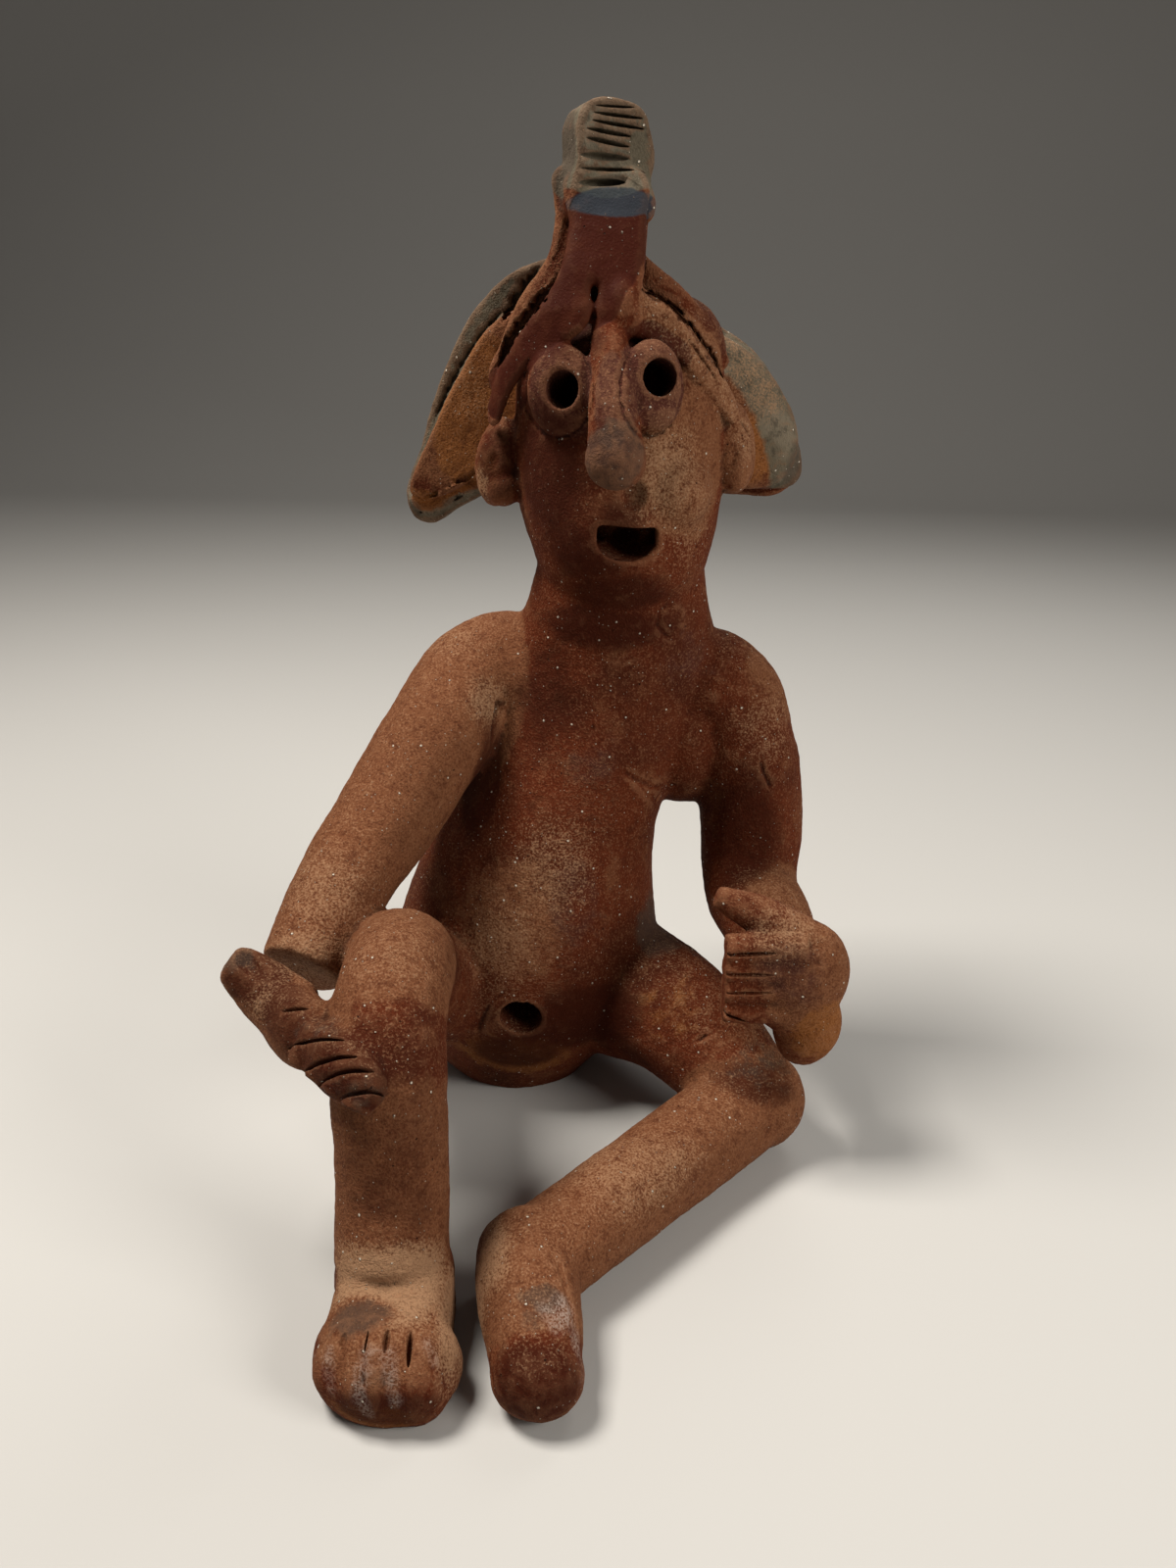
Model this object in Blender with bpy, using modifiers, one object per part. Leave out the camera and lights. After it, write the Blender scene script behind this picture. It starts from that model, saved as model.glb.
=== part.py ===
"""Seated clay figurine in a winged headdress, hand modelled from coils and pellets of clay.

Metres, +Z up. The figure faces -Y. The origin is the middle of its flat seat, on the surface that it
sits on. Right and left are the figure's own: its right side is towards -X. It is one fired piece, so
its lumps of clay are joined into one body, smoothed at the joins, and the pressed marks are cut last.
"""

import math

import bmesh
import bpy
from mathutils import Euler, Matrix, Vector

MM = 0.001

# Body sizes, in millimetres.
SEAT_HALF_BREADTH = 16.0
BELLY_HALF_BREADTH = 29.0
CHEST_HALF_BREADTH = 24.0
NECK_HALF_BREADTH = 17.5
HEAD_HALF_BREADTH = 20.5
ARM_RADIUS = 11.3
WRIST_RADIUS = 7.8
THIGH_RADIUS = 12.5
SHIN_RADIUS = 9.8
WING_SHEET = 5.0
CREST_BREADTH = 14.2
CREST_TOP = 198.5

# Places of the pose, in millimetres.
HEAD = (17.0, -2.0, 143.0)
RIGHT_SHOULDER = (-9.0, 1.0, 94.5)
RIGHT_ELBOW = (-28.0, -25.0, 70.0)
RIGHT_WRIST = (-40.0, -54.0, 51.0)
LEFT_SHOULDER = (38.0, 3.0, 91.5)
LEFT_ELBOW = (48.5, -5.0, 47.0)
LEFT_WRIST = (53.5, -29.0, 40.5)
RIGHT_HIP = (-17.0, -6.0, 21.0)
RIGHT_KNEE = (-21.3, -65.0, 54.0)
RIGHT_ANKLE = (-19.6, -85.0, 13.0)
LEFT_HIP = (17.0, -4.0, 22.0)
LEFT_KNEE = (48.5, -34.0, 11.0)
LEFT_ANKLE = (3.2, -81.0, 9.0)

# How finely the lumps are fused and smoothed, and the share of faces that the body keeps.
GRAIN = 0.8
SMOOTHING_ROUNDS = 5
KEPT_SHARE = 0.032

CLAY_BROWN = (0.145, 0.050, 0.027, 1.0)


def clear_scene():
    for thing in list(bpy.data.objects):
        bpy.data.objects.remove(thing, do_unlink=True)


def collection(name):
    made = bpy.data.collections.new(name)
    bpy.context.scene.collection.children.link(made)
    return made


def metres(place):
    return Vector(place) * MM


def between(start, end, share):
    """The place that share of the way from start to end."""
    return tuple(a + (b - a) * share for a, b in zip(start, end))


def moved(place, x=0.0, y=0.0, z=0.0):
    return (place[0] + x, place[1] + y, place[2] + z)


def placed(lump, name, centre, half, turn):
    """Names a primitive of radius 1 and gives it these half sizes, turn in degrees and centre."""
    lump.name = name
    turned = Euler([math.radians(angle) for angle in turn])
    lump.data.transform(Matrix.LocRotScale(metres(centre), turned, metres(half)))
    return lump


def ball(name, centre, half, turn=(0, 0, 0)):
    """A pellet of clay, drawn out to these half sizes."""
    bpy.ops.mesh.primitive_uv_sphere_add(segments=32, ring_count=20, radius=1.0)
    return placed(bpy.context.object, name, centre, half, turn)


def block(name, centre, half, turn=(0, 0, 0), rounding=0.0):
    """A squared lump with these half sizes, its edges rounded by so many millimetres."""
    bpy.ops.mesh.primitive_cube_add(size=2.0)
    lump = placed(bpy.context.object, name, centre, half, turn)
    if rounding:
        edge = lump.modifiers.new("rounded", "BEVEL")
        edge.width = rounding * MM
        edge.segments = 2
    return lump


def peg(name, centre, half, turn=(0, 0, 0)):
    """A round stick along its own Z, with these half sizes."""
    bpy.ops.mesh.primitive_cylinder_add(vertices=14, radius=1.0, depth=2.0)
    return placed(bpy.context.object, name, centre, half, turn)


def ring(name, centre, half, turn=(0, 0, 0)):
    """A ring of clay lying in its own XY plane."""
    bpy.ops.mesh.primitive_torus_add(
        major_segments=32, minor_segments=16, major_radius=1.0, minor_radius=0.5
    )
    return placed(bpy.context.object, name, centre, half, turn)


def solid_from(curve_object):
    """The curve as a closed mesh in its place, with its caps welded on."""
    bpy.context.scene.collection.objects.link(curve_object)
    bpy.context.view_layer.update()
    graph = bpy.context.evaluated_depsgraph_get()
    mesh = bpy.data.meshes.new_from_object(curve_object.evaluated_get(graph))
    mesh.transform(curve_object.matrix_world)
    made = bpy.data.objects.new(curve_object.name, mesh)
    bpy.context.scene.collection.objects.link(made)
    bpy.data.objects.remove(curve_object)
    shape = bmesh.new()
    shape.from_mesh(mesh)
    bmesh.ops.remove_doubles(shape, verts=shape.verts, dist=0.01 * MM)
    shape.to_mesh(mesh)
    shape.free()
    return made


def coil(name, *stations):
    """A rolled coil of clay through stations of (place, radius)."""
    curve = bpy.data.curves.new(name, "CURVE")
    curve.dimensions = "3D"
    curve.resolution_u = 6
    curve.bevel_depth = MM
    curve.bevel_resolution = 6
    curve.use_fill_caps = True
    spline = curve.splines.new("BEZIER")
    spline.bezier_points.add(len(stations) - 1)
    for point, (place, radius) in zip(spline.bezier_points, stations):
        point.co = metres(place)
        point.radius = radius
        point.handle_left_type = point.handle_right_type = "AUTO"
    return solid_from(bpy.data.objects.new(name, curve))


def stack(name, sections):
    """A body built up from level ovals of (height, centre x, centre y, half breadth, half depth)."""
    sides = 32
    angles = [2 * math.pi * side / sides for side in range(sides)]
    shape = bmesh.new()
    rings = []
    for height, x, y, breadth, depth in sections:
        places = [(x + breadth * math.cos(a), y + depth * math.sin(a), height) for a in angles]
        rings.append([shape.verts.new(metres(place)) for place in places])
    for lower, upper in zip(rings, rings[1:]):
        for side in range(sides):
            other = (side + 1) % sides
            shape.faces.new((lower[side], lower[other], upper[other], upper[side]))
    shape.faces.new(reversed(rings[0]))
    shape.faces.new(rings[-1])
    mesh = bpy.data.meshes.new(name)
    shape.to_mesh(mesh)
    shape.free()
    made = bpy.data.objects.new(name, mesh)
    bpy.context.scene.collection.objects.link(made)
    return made


def sheet(name, outline, middle_y, thickness, sweep=0.0):
    """An upright sheet of clay with an outline of (x, z), swept back by so many degrees from the head."""
    curve = bpy.data.curves.new(name, "CURVE")
    curve.dimensions = "2D"
    curve.fill_mode = "BOTH"
    curve.resolution_u = 5
    curve.extrude = (thickness / 2 - 0.8) * MM
    curve.bevel_depth = 0.8 * MM
    spline = curve.splines.new("BEZIER")
    spline.use_cyclic_u = True
    spline.bezier_points.add(len(outline) - 1)
    for point, (x, z) in zip(spline.bezier_points, outline):
        point.co = metres((x - HEAD[0], z, 0))
        point.handle_left_type = point.handle_right_type = "AUTO"
    laid = bpy.data.objects.new(name, curve)
    laid.rotation_euler = (math.pi / 2, 0, math.radians(sweep))
    laid.location = metres((HEAD[0], middle_y, 0))
    return solid_from(laid)


def torso():
    """The pear-shaped trunk, leaning to the figure's left, with its flat seat and sloping shoulders."""
    seat, belly, chest, neck = (
        SEAT_HALF_BREADTH, BELLY_HALF_BREADTH, CHEST_HALF_BREADTH, NECK_HALF_BREADTH
    )
    return [
        stack("trunk", [
            (-6, -3, 1, seat - 5, 13),
            (0, -3.5, 0, seat, 16),
            (5, -3.5, -1, seat + 4.5, 18.5),
            (13, -2.5, -2.5, belly - 4.5, 22),
            (22, -2, -3.5, belly, 24.5),
            (32, -1.5, -3.5, belly + 0.6, 25),
            (44, -0.5, -3, belly - 1.5, 24.5),
            (56, 1.5, -1.5, belly - 4.5, 22),
            (68, 5, 0, chest, 19.5),
            (80, 10, 1.5, chest - 0.5, 17.5),
            (91, 14, 2, chest, 16.5),
            (101, 17, 1.5, chest - 2, 16),
            (109, 17.7, 0, neck + 0.8, 16.5),
            (122, 18, -1, neck - 1, 16),
        ]),
        ball("buttocks", (-1, 5, 17), (27, 18, 17.5)),
        ball("right_chest", (-1, 2, 91), (18, 12.5, 13), (0, 35, 0)),
        ball("left_chest", (31, 4, 82), (15, 12, 19), (0, -14, 0)),
        ball("back_of_neck", (17, 6, 112), (15, 10, 16)),
    ]


def head():
    """The head, long and blunt, with its jaw run into the neck."""
    x, y, _ = HEAD
    half = HEAD_HALF_BREADTH
    return [
        stack("skull", [
            (106, x + 1, y + 1, half - 8, 12),
            (111, x + 1, y, half - 5.5, 15.5),
            (117, x + 1, y - 1, half - 3.4, 18.5),
            (125, x + 0.5, y - 0.5, half - 1.3, 20),
            (133, x, y, half + 0.3, 20.5),
            (147, x, y, half, 20.5),
            (155, x, y + 0.5, half - 0.5, 19.5),
            (162, x, y + 3, half - 4, 16),
            (168, x, y + 6, half - 8, 11),
        ]),
    ]


def face():
    """Ring eyes, a rolled nose and pinched ears, stuck on."""
    x, y, z = HEAD
    right_eye, left_eye = (x - 10.6, y - 17.0, z + 8.0), (x + 5.8, y - 19.2, z + 10.6)
    return [
        ring("right_eye", right_eye, (4.1, 5.0, 4.4), (82, 0, -26)),
        ring("left_eye", left_eye, (3.9, 5.3, 4.4), (82, 0, 8)),
        coil("nose",
             ((x - 2.8, y - 16.5, z + 17), 2.9),
             ((x - 2.4, y - 20, z + 12), 3.2),
             ((x - 1.8, y - 23.5, z + 5), 4.1),
             ((x - 1.2, y - 25.2, z - 2), 5.3)),
        ball("nose_tip", (x - 1.2, y - 25.4, z - 3), (5.5, 5.0, 5.4)),
        ball("right_ear", (x - 23.7, y - 1.5, z - 5.8), (4.3, 5.5, 8.7), (0, 8, 25)),
        ball("left_ear", (x + 21.8, y - 2.2, z - 2.2), (4.4, 5.0, 9.3), (0, -8, -30)),
    ]


def headdress():
    """Sheets folded up into two wings, a front band in two halves and an upright crest."""
    x, y, z = HEAD
    right_back = [
        (20, 174), (0, 173), (-9, 168), (-17.5, 156), (-24.5, 138), (-27.5, 127), (-24, 122.8),
        (-16, 126), (-3, 134), (12, 140),
    ]
    right_front = [
        (12, 168), (-2, 165.5), (-11.5, 159), (-19.5, 146), (-26.8, 130), (-22, 129.6), (-11, 135),
        (2, 142),
    ]
    left_back = [
        (12, 175), (21, 173.5), (33, 164), (44.5, 157), (51, 146), (55, 136), (53.5, 132), (44, 130.8),
        (30, 134), (14, 142),
    ]
    left_front = [
        (16, 169), (26, 165), (38, 157), (47, 146), (51, 136.5), (44, 134), (30, 138), (14, 146),
    ]
    return [
        sheet("right_wing_back", right_back, y + 9.5, WING_SHEET, -9),
        sheet("right_wing_front", right_front, y + 6, WING_SHEET, -9),
        sheet("left_wing_back", left_back, y + 9, WING_SHEET, 9),
        sheet("left_wing_front", left_front, y + 5.5, WING_SHEET, 9),
        ball("left_wing_swell", (x + 20, y + 6.5, z + 5), (18, 4.5, 10), (0, 42, 12)),
        ball("back_of_head", (x, y + 9, z + 5), (19, 13.5, 25)),
        ball("crown", (x - 3, y + 4, z + 21), (12.5, 10, 11), (0, 0, 16)),
        ball("brow", (x - 2, y - 4, z + 19), (15, 11.5, 7)),
        coil("right_band",
             ((x - 5.5, y - 10.0, z + 28), 5.4),
             ((x - 8.8, y - 11.6, z + 21.5), 5.4),
             ((x - 13.6, y - 10.8, z + 17), 4.8),
             ((x - 18.5, y - 8.8, z + 11), 3.6),
             ((x - 21.9, y - 5.8, z + 4), 2.6),
             ((x - 23.0, y - 2.5, z - 2), 2.0)),
        coil("left_band",
             ((x - 1.0, y - 10.0, z + 28), 5.2),
             ((x + 2.0, y - 12.0, z + 21.5), 5.2),
             ((x + 9.2, y - 11.4, z + 18), 4.9),
             ((x + 15.3, y - 9.4, z + 12.5), 4.2),
             ((x + 19.8, y - 6.0, z + 6), 3.0),
             ((x + 22.0, y - 2.0, z - 1), 2.2)),
        stack("stalk", [
            (161, x - 4.5, y - 9, 8.6, 6.5),
            (168, x - 5.0, y - 8, 8.0, 6.2),
            (174, x - 3.4, y - 7, 7.3, 6.0),
            (182, x - 2.6, y - 6, 6.8, 6.0),
        ]),
        block("crest", (13.3, y - 5.8, CREST_TOP - 9.6), (CREST_BREADTH / 2, 6.0, 9.6), (-4, 4, 17), 1.2),
        block("back_strip", (8.2, y + 1.5, 176), (4.8, 4.0, 12.5), (0, 8, 16), 1.8),
    ]


def arms():
    """Two thick coils from shoulder to wrist."""
    return [
        coil("right_arm",
             (moved(RIGHT_SHOULDER, x=10), ARM_RADIUS - 1),
             (RIGHT_SHOULDER, ARM_RADIUS - 0.3),
             (moved(between(RIGHT_SHOULDER, RIGHT_ELBOW, 0.5), x=-0.5, z=1), ARM_RADIUS),
             (RIGHT_ELBOW, ARM_RADIUS - 0.9),
             (moved(between(RIGHT_ELBOW, RIGHT_WRIST, 0.55), x=-1.2), ARM_RADIUS - 2.4),
             (RIGHT_WRIST, WRIST_RADIUS)),
        coil("left_arm",
             (moved(LEFT_SHOULDER, x=-10, z=-3), ARM_RADIUS - 1),
             (LEFT_SHOULDER, ARM_RADIUS),
             (moved(LEFT_SHOULDER, x=8, z=-16), ARM_RADIUS + 0.4),
             (moved(LEFT_ELBOW, y=6, z=14), ARM_RADIUS),
             (LEFT_ELBOW, ARM_RADIUS - 0.7),
             (between(LEFT_ELBOW, LEFT_WRIST, 0.5), ARM_RADIUS - 1.7),
             (LEFT_WRIST, WRIST_RADIUS)),
    ]


def right_hand():
    """The mitten hand wrapped round the raised knee, its thumb standing out to the side."""
    x, y, z = RIGHT_WRIST
    return [
        ball("right_palm", (x + 3.2, y - 15.5, z - 1.5), (9.5, 5.4, 7.0), (0, 8, -50)),
        ball("right_fingers", (x + 13.0, y - 27.0, z - 1.5), (11.0, 4.4, 5.4), (0, 4, -46)),
        coil("right_thumb",
             ((x + 2, y - 13, z - 1), 6.0),
             ((x - 4, y - 9, z + 1.5), 5.4),
             ((x - 8.3, y - 8, z + 4.8), 4.3),
             ((x - 10.3, y - 8, z + 6.2), 3.2)),
    ]


def left_hand():
    """The mitten hand on the lowered knee: the back of the hand, four fingers and the thumb."""
    x, y, z = LEFT_WRIST
    fingers = [
        coil(f"left_finger_{row}", ((x + 1, y - 11.5, height), 3.2), ((x - 14.5, y - 12.5, height), 2.8))
        for row, height in enumerate((50.6, 46.1, 41.6, 36.9))
    ]
    return fingers + [
        ball("left_palm", (x + 1, y - 8, z + 1.5), (10.0, 7.5, 12.5), (0, 12, 0)),
        ball("left_heel", (x + 3.8, y - 7, z - 9.5), (6.8, 6.5, 9.5), (0, 8, 0)),
        coil("left_thumb",
             ((x + 2, y - 8, z + 8.5), 5.5),
             ((x - 7, y - 7.5, z + 14.5), 4.2),
             ((x - 16.5, y - 7, z + 18.5), 2.4)),
    ]


def legs():
    """The right knee is drawn up and the left leg folded flat in front."""
    return [
        coil("right_leg",
             (RIGHT_HIP, THIGH_RADIUS + 2.5),
             (moved(between(RIGHT_HIP, RIGHT_KNEE, 0.5), x=-5, z=2), THIGH_RADIUS - 1),
             (moved(RIGHT_KNEE, x=0.3, y=7, z=0), SHIN_RADIUS),
             (moved(RIGHT_KNEE, x=0.2, y=-4.5, z=-2), SHIN_RADIUS + 0.2),
             (moved(RIGHT_KNEE, x=0.8, y=-11, z=-12), SHIN_RADIUS),
             (between(RIGHT_KNEE, RIGHT_ANKLE, 0.7), SHIN_RADIUS),
             (RIGHT_ANKLE, SHIN_RADIUS)),
        coil("left_thigh",
             (LEFT_HIP, THIGH_RADIUS + 4.5),
             (moved(between(LEFT_HIP, LEFT_KNEE, 0.5), y=1, z=4), THIGH_RADIUS + 1.2),
             (LEFT_KNEE, SHIN_RADIUS + 0.5)),
        ball("left_kneecap", LEFT_KNEE, (10.3, 10.3, 10.6)),
        coil("left_shin",
             (LEFT_KNEE, SHIN_RADIUS),
             (moved(between(LEFT_KNEE, LEFT_ANKLE, 0.3), y=1.5, z=-1.2), SHIN_RADIUS),
             (between(LEFT_KNEE, LEFT_ANKLE, 0.7), SHIN_RADIUS - 0.7),
             (LEFT_ANKLE, SHIN_RADIUS - 0.7)),
    ]


def feet():
    """The right foot is a broad wedge with toes, the left one a rounded club."""
    return [
        ball("right_heel", moved(RIGHT_ANKLE, y=1, z=-4), (10.3, 11, 10)),
        block("right_instep", (-18.8, -92.5, 6.0), (9.9, 12, 9.6), (14, 0, 0), 5.5),
        ball("right_toes", (-18.3, -99.5, 6.0), (12.0, 9.0, 9.6), (10, 0, 0)),
        ball("right_toe_corner", (-23.0, -99.0, 6.0), (7.5, 8.0, 8.8), (10, 0, 0)),
        ball("right_big_toe", (-14.0, -100.5, 5.5), (7.3, 8.5, 9.0), (10, 0, 0)),
        coil("left_foot",
             (moved(LEFT_ANKLE, y=5), SHIN_RADIUS - 0.3),
             (moved(LEFT_ANKLE, x=0.3, y=-6), SHIN_RADIUS - 0.8),
             (moved(LEFT_ANKLE, x=1.6, y=-14, z=-1), SHIN_RADIUS - 1.6),
             (moved(LEFT_ANKLE, x=2.4, y=-20, z=-2.5), SHIN_RADIUS - 2.6)),
        ball("left_toe", moved(LEFT_ANKLE, x=2.5, y=-20.5, z=-2.5), (7.6, 7.0, 7.2)),
    ]


def fused(lumps, name):
    """The lumps of clay pressed into one body: one skin, smoothed at the joins."""
    graph = bpy.context.evaluated_depsgraph_get()
    shape = bmesh.new()
    for lump in lumps:
        mesh = bpy.data.meshes.new_from_object(lump.evaluated_get(graph))
        shape.from_mesh(mesh)
        bpy.data.meshes.remove(mesh)
        bpy.data.objects.remove(lump)
    mesh = bpy.data.meshes.new(name)
    shape.to_mesh(mesh)
    shape.free()
    body = bpy.data.objects.new(name, mesh)
    skin = body.modifiers.new("one skin", "REMESH")
    skin.mode = "VOXEL"
    skin.voxel_size = GRAIN * MM
    wiped = body.modifiers.new("wiped joins", "SMOOTH")
    wiped.factor = 0.5
    wiped.iterations = SMOOTHING_ROUNDS
    fewer = body.modifiers.new("fewer faces", "DECIMATE")
    fewer.ratio = KEPT_SHARE
    fewer.use_collapse_triangulate = True
    return body


def pressed_marks():
    """Holes poked with a stick, slits cut with a knife, and the level of the surface it sits on."""
    x, y, z = HEAD
    marks = [
        peg("right_eye_hole", (x - 10.8, y - 14.0, z + 8.0), (3.1, 3.4, 9.0), (82, 0, -20)),
        peg("left_eye_hole", (x + 5.8, y - 17.0, z + 10.4), (3.0, 3.1, 9.0), (82, 0, 6)),
        block("brow_slit", (x - 5.0, y - 18.5, z + 19.5), (0.7, 5, 4.5), (0, 4, 0)),
        block("mouth_hole", (x + 1.4, y - 17.0, z - 18.8), (5.7, 8.0, 3.4), (0, 2, 0), 1.6),
        peg("navel_hole", (-1.2, -24.0, 26.5), (4.5, 4.3, 9.0), (100, 0, 0)),
        block("floor_level", (0, -40, -20), (120, 120, 20)),
    ]
    for row in range(8):
        height = CREST_TOP - 2.2 - 1.9 * row
        marks.append(block(f"crest_slit_{row}", (15.3, y - 12.4, height), (5.6, 1.8, 0.4), (0, 7, 17)))
    for row, height in enumerate((53.2, 48.3, 43.9, 39.3)):
        marks.append(block(f"left_finger_slit_{row}", (43.5, -44.5, height), (7.5, 2.2, 0.45)))
    for row in range(4):
        centre = between((-32.3, -80.0, 51.2), (-23.5, -90.0, 46.6), row / 3)
        marks.append(block(f"right_finger_slit_{row}", centre, (4.2, 2.4, 0.4), (0, 0, -46)))
    for row, toe in enumerate((-24.8, -17.6, -13.9)):
        marks.append(block(f"toe_slit_{row}", (toe, -104.0, 14.5), (0.5, 2.8, 3.2), (35, 0, 0)))
    return marks


def clay_material():
    clay = bpy.data.materials.new("fired_clay")
    clay.use_nodes = True
    shader = clay.node_tree.nodes["Principled BSDF"]
    shader.inputs["Base Color"].default_value = CLAY_BROWN
    shader.inputs["Roughness"].default_value = 0.85
    shader.inputs["Metallic"].default_value = 0.0
    return clay


def build():
    clear_scene()
    figure = collection("clay_figurine")
    tools = collection("cutters")
    lumps = torso() + head() + face() + headdress() + arms() + right_hand() + left_hand() + legs() + feet()
    bpy.context.view_layer.update()
    body = fused(lumps, "figurine")
    figure.objects.link(body)
    body.data.materials.append(clay_material())
    for mark in pressed_marks():
        for holder in list(mark.users_collection):
            holder.objects.unlink(mark)
        tools.objects.link(mark)
        mark.hide_render = True
        mark.display_type = "WIRE"
    cut = body.modifiers.new("pressed marks", "BOOLEAN")
    cut.operation = "DIFFERENCE"
    cut.operand_type = "COLLECTION"
    cut.collection = tools
    cut.solver = "EXACT"
    body.data.shade_smooth()


build()
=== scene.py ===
"""Seated clay figurine in a winged headdress: the fired clay itself, with its pressed marks, worn slip,
faded paint, sand and dust, and light and shade painted into its colour. Metres, +Z up. The figure faces
-Y and sits on the plane z = 0. Right and left are the figure's own: its right side is towards -X.
"""

import math

import bpy
import numpy as np
from mathutils import Euler, Matrix, Vector, kdtree, noise


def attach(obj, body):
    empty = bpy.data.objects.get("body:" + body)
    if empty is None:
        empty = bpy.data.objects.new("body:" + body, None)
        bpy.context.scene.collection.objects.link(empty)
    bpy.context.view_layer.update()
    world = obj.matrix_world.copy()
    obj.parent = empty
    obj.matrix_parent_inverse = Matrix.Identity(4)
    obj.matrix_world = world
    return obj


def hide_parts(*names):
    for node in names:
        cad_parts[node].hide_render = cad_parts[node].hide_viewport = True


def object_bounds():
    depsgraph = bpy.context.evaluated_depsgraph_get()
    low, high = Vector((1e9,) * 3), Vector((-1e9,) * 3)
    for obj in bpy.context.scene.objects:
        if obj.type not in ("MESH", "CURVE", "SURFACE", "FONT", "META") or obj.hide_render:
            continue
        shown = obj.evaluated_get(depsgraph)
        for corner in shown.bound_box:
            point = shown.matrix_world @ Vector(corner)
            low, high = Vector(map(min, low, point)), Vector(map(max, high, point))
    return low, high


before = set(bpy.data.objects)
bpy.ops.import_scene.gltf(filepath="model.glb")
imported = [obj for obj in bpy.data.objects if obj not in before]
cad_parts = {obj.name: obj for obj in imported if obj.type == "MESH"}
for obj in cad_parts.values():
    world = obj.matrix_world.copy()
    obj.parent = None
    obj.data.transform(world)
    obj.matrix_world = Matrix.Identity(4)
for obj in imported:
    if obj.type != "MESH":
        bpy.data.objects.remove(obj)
SOLID_LOW, SOLID_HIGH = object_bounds()

MM = 0.001

# Body sizes, in millimetres.
SEAT_HALF_BREADTH = 16.0
BELLY_HALF_BREADTH = 29.0
CHEST_HALF_BREADTH = 24.0
NECK_HALF_BREADTH = 17.5
HEAD_HALF_BREADTH = 20.5
ARM_RADIUS = 11.3
WRIST_RADIUS = 7.8
THIGH_RADIUS = 12.5
SHIN_RADIUS = 9.8
CREST_TOP = 198.5

# Places of the pose, in millimetres.
HEAD = (17.0, -2.0, 143.0)
RIGHT_SHOULDER = (-9.0, 1.0, 94.5)
RIGHT_ELBOW = (-28.0, -25.0, 70.0)
RIGHT_WRIST = (-40.0, -54.0, 51.0)
LEFT_SHOULDER = (38.0, 3.0, 91.5)
LEFT_ELBOW = (48.5, -5.0, 47.0)
LEFT_WRIST = (53.5, -29.0, 40.5)
RIGHT_HIP = (-17.0, -6.0, 21.0)
RIGHT_KNEE = (-21.3, -65.0, 54.0)
RIGHT_ANKLE = (-19.6, -85.0, 13.0)
LEFT_HIP = (17.0, -4.0, 22.0)
LEFT_KNEE = (48.5, -34.0, 11.0)
LEFT_ANKLE = (3.2, -81.0, 9.0)

# How finely the clay is worked, in millimetres, and the most faces that it keeps.
WIPED_GRAIN = 0.6
CUT_GRAIN = 0.5
LAST_GRAIN = 0.4
WIPING_ROUNDS = 8
MOST_FACES = 194000

# How far clay stands proud of what is round it, or lies under it, to show fully worn, or fully darkened by
# dirt and painted shade.
WORN_AT = 0.16
DARKENED_AT = 0.30
SUNK_AT = 1.6

# What the surface stays inside the solid's box by, in millimetres.
HAIR = 0.02

# The stir of the ragged cracks starts from here, so that each run makes the same ones.
STIR_SEED = 7
noise.seed_set(STIR_SEED)

# Colours of the fired clay, of what lies on it, and of the light and shade painted on it.
DARK_CLAY = (0.052, 0.011, 0.004, 1.0)
RED_CLAY = (0.102, 0.020, 0.006, 1.0)
BROWN_CLAY_AND_LIGHT = (0.172, 0.068, 0.030, 1.0)
PLUM_CLAY_AND_SHADE = (0.064, 0.022, 0.016, 1.0)
ORANGE_CLAY = (0.225, 0.082, 0.022, 1.0)
PALE_CLAY = (0.260, 0.120, 0.060, 1.0)
DEEP_RED_AND_SHADE = (0.034, 0.0056, 0.0016, 1.0)
RED_SLIP = (0.038, 0.0050, 0.0014, 1.0)
RED_SLIP_WORN = (0.056, 0.0105, 0.0036, 1.0)
SOOT_AND_SHADE = (0.054, 0.038, 0.028, 1.0)
GREEN_PAINT = (0.105, 0.090, 0.062, 1.0)
GREEN_PAINT_PALE = (0.165, 0.140, 0.100, 1.0)
GREEN_PAINT_DARK = (0.040, 0.035, 0.025, 1.0)
BLUE_PAINT = (0.027, 0.038, 0.049, 1.0)
TAN_DUST_AND_LIGHT = (0.330, 0.190, 0.105, 1.0)
PALE_SCUFF = (0.400, 0.330, 0.290, 1.0)
DEEP_SHADE = (0.014, 0.005, 0.003, 1.0)
SAND_TAN = (0.420, 0.260, 0.150, 1.0)
SAND_WHITE = (0.860, 0.760, 0.620, 1.0)
PALE_PAPER = (0.50, 0.49, 0.47, 1.0)
WARM_AIR = (1.0, 0.94, 0.88, 1.0)

# The camera: its place in metres, its lens in millimetres, and in degrees how far it looks down and leans.
EYE_PLACE = (0.012, -0.243, 0.160)
EYE_FILM_HEIGHT = 24.0
EYE_LENS = 18.03
EYE_DOWN = 20.7
EYE_LEAN = 1.04


# Shaping tools.


def metres(place):
    """A place or size in millimetres, in metres."""
    return Vector(place) * MM


def between(start, end, share):
    """The place that share of the way from start to end."""
    return tuple(a + (b - a) * share for a, b in zip(start, end))


def moved(place, x=0.0, y=0.0, z=0.0):
    """The place, shifted by this much."""
    return (place[0] + x, place[1] + y, place[2] + z)


def picked(*things):
    """Only these are selected, and the first is the one that is worked on."""
    bpy.ops.object.select_all(action="DESELECT")
    for thing in things:
        thing.select_set(True)
    bpy.context.view_layer.objects.active = things[0]
    return things[0]


def settled(name, centre, half, turn):
    """Names the new primitive of radius 1, drawn out to these half sizes, turned and put in its place."""
    lump = bpy.context.object
    lump.name = name
    lump.location = metres(centre)
    lump.rotation_euler = Euler([math.radians(angle) for angle in turn])
    lump.scale = metres(half)
    bpy.ops.object.transform_apply(location=True, rotation=True, scale=True)
    return lump


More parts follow.
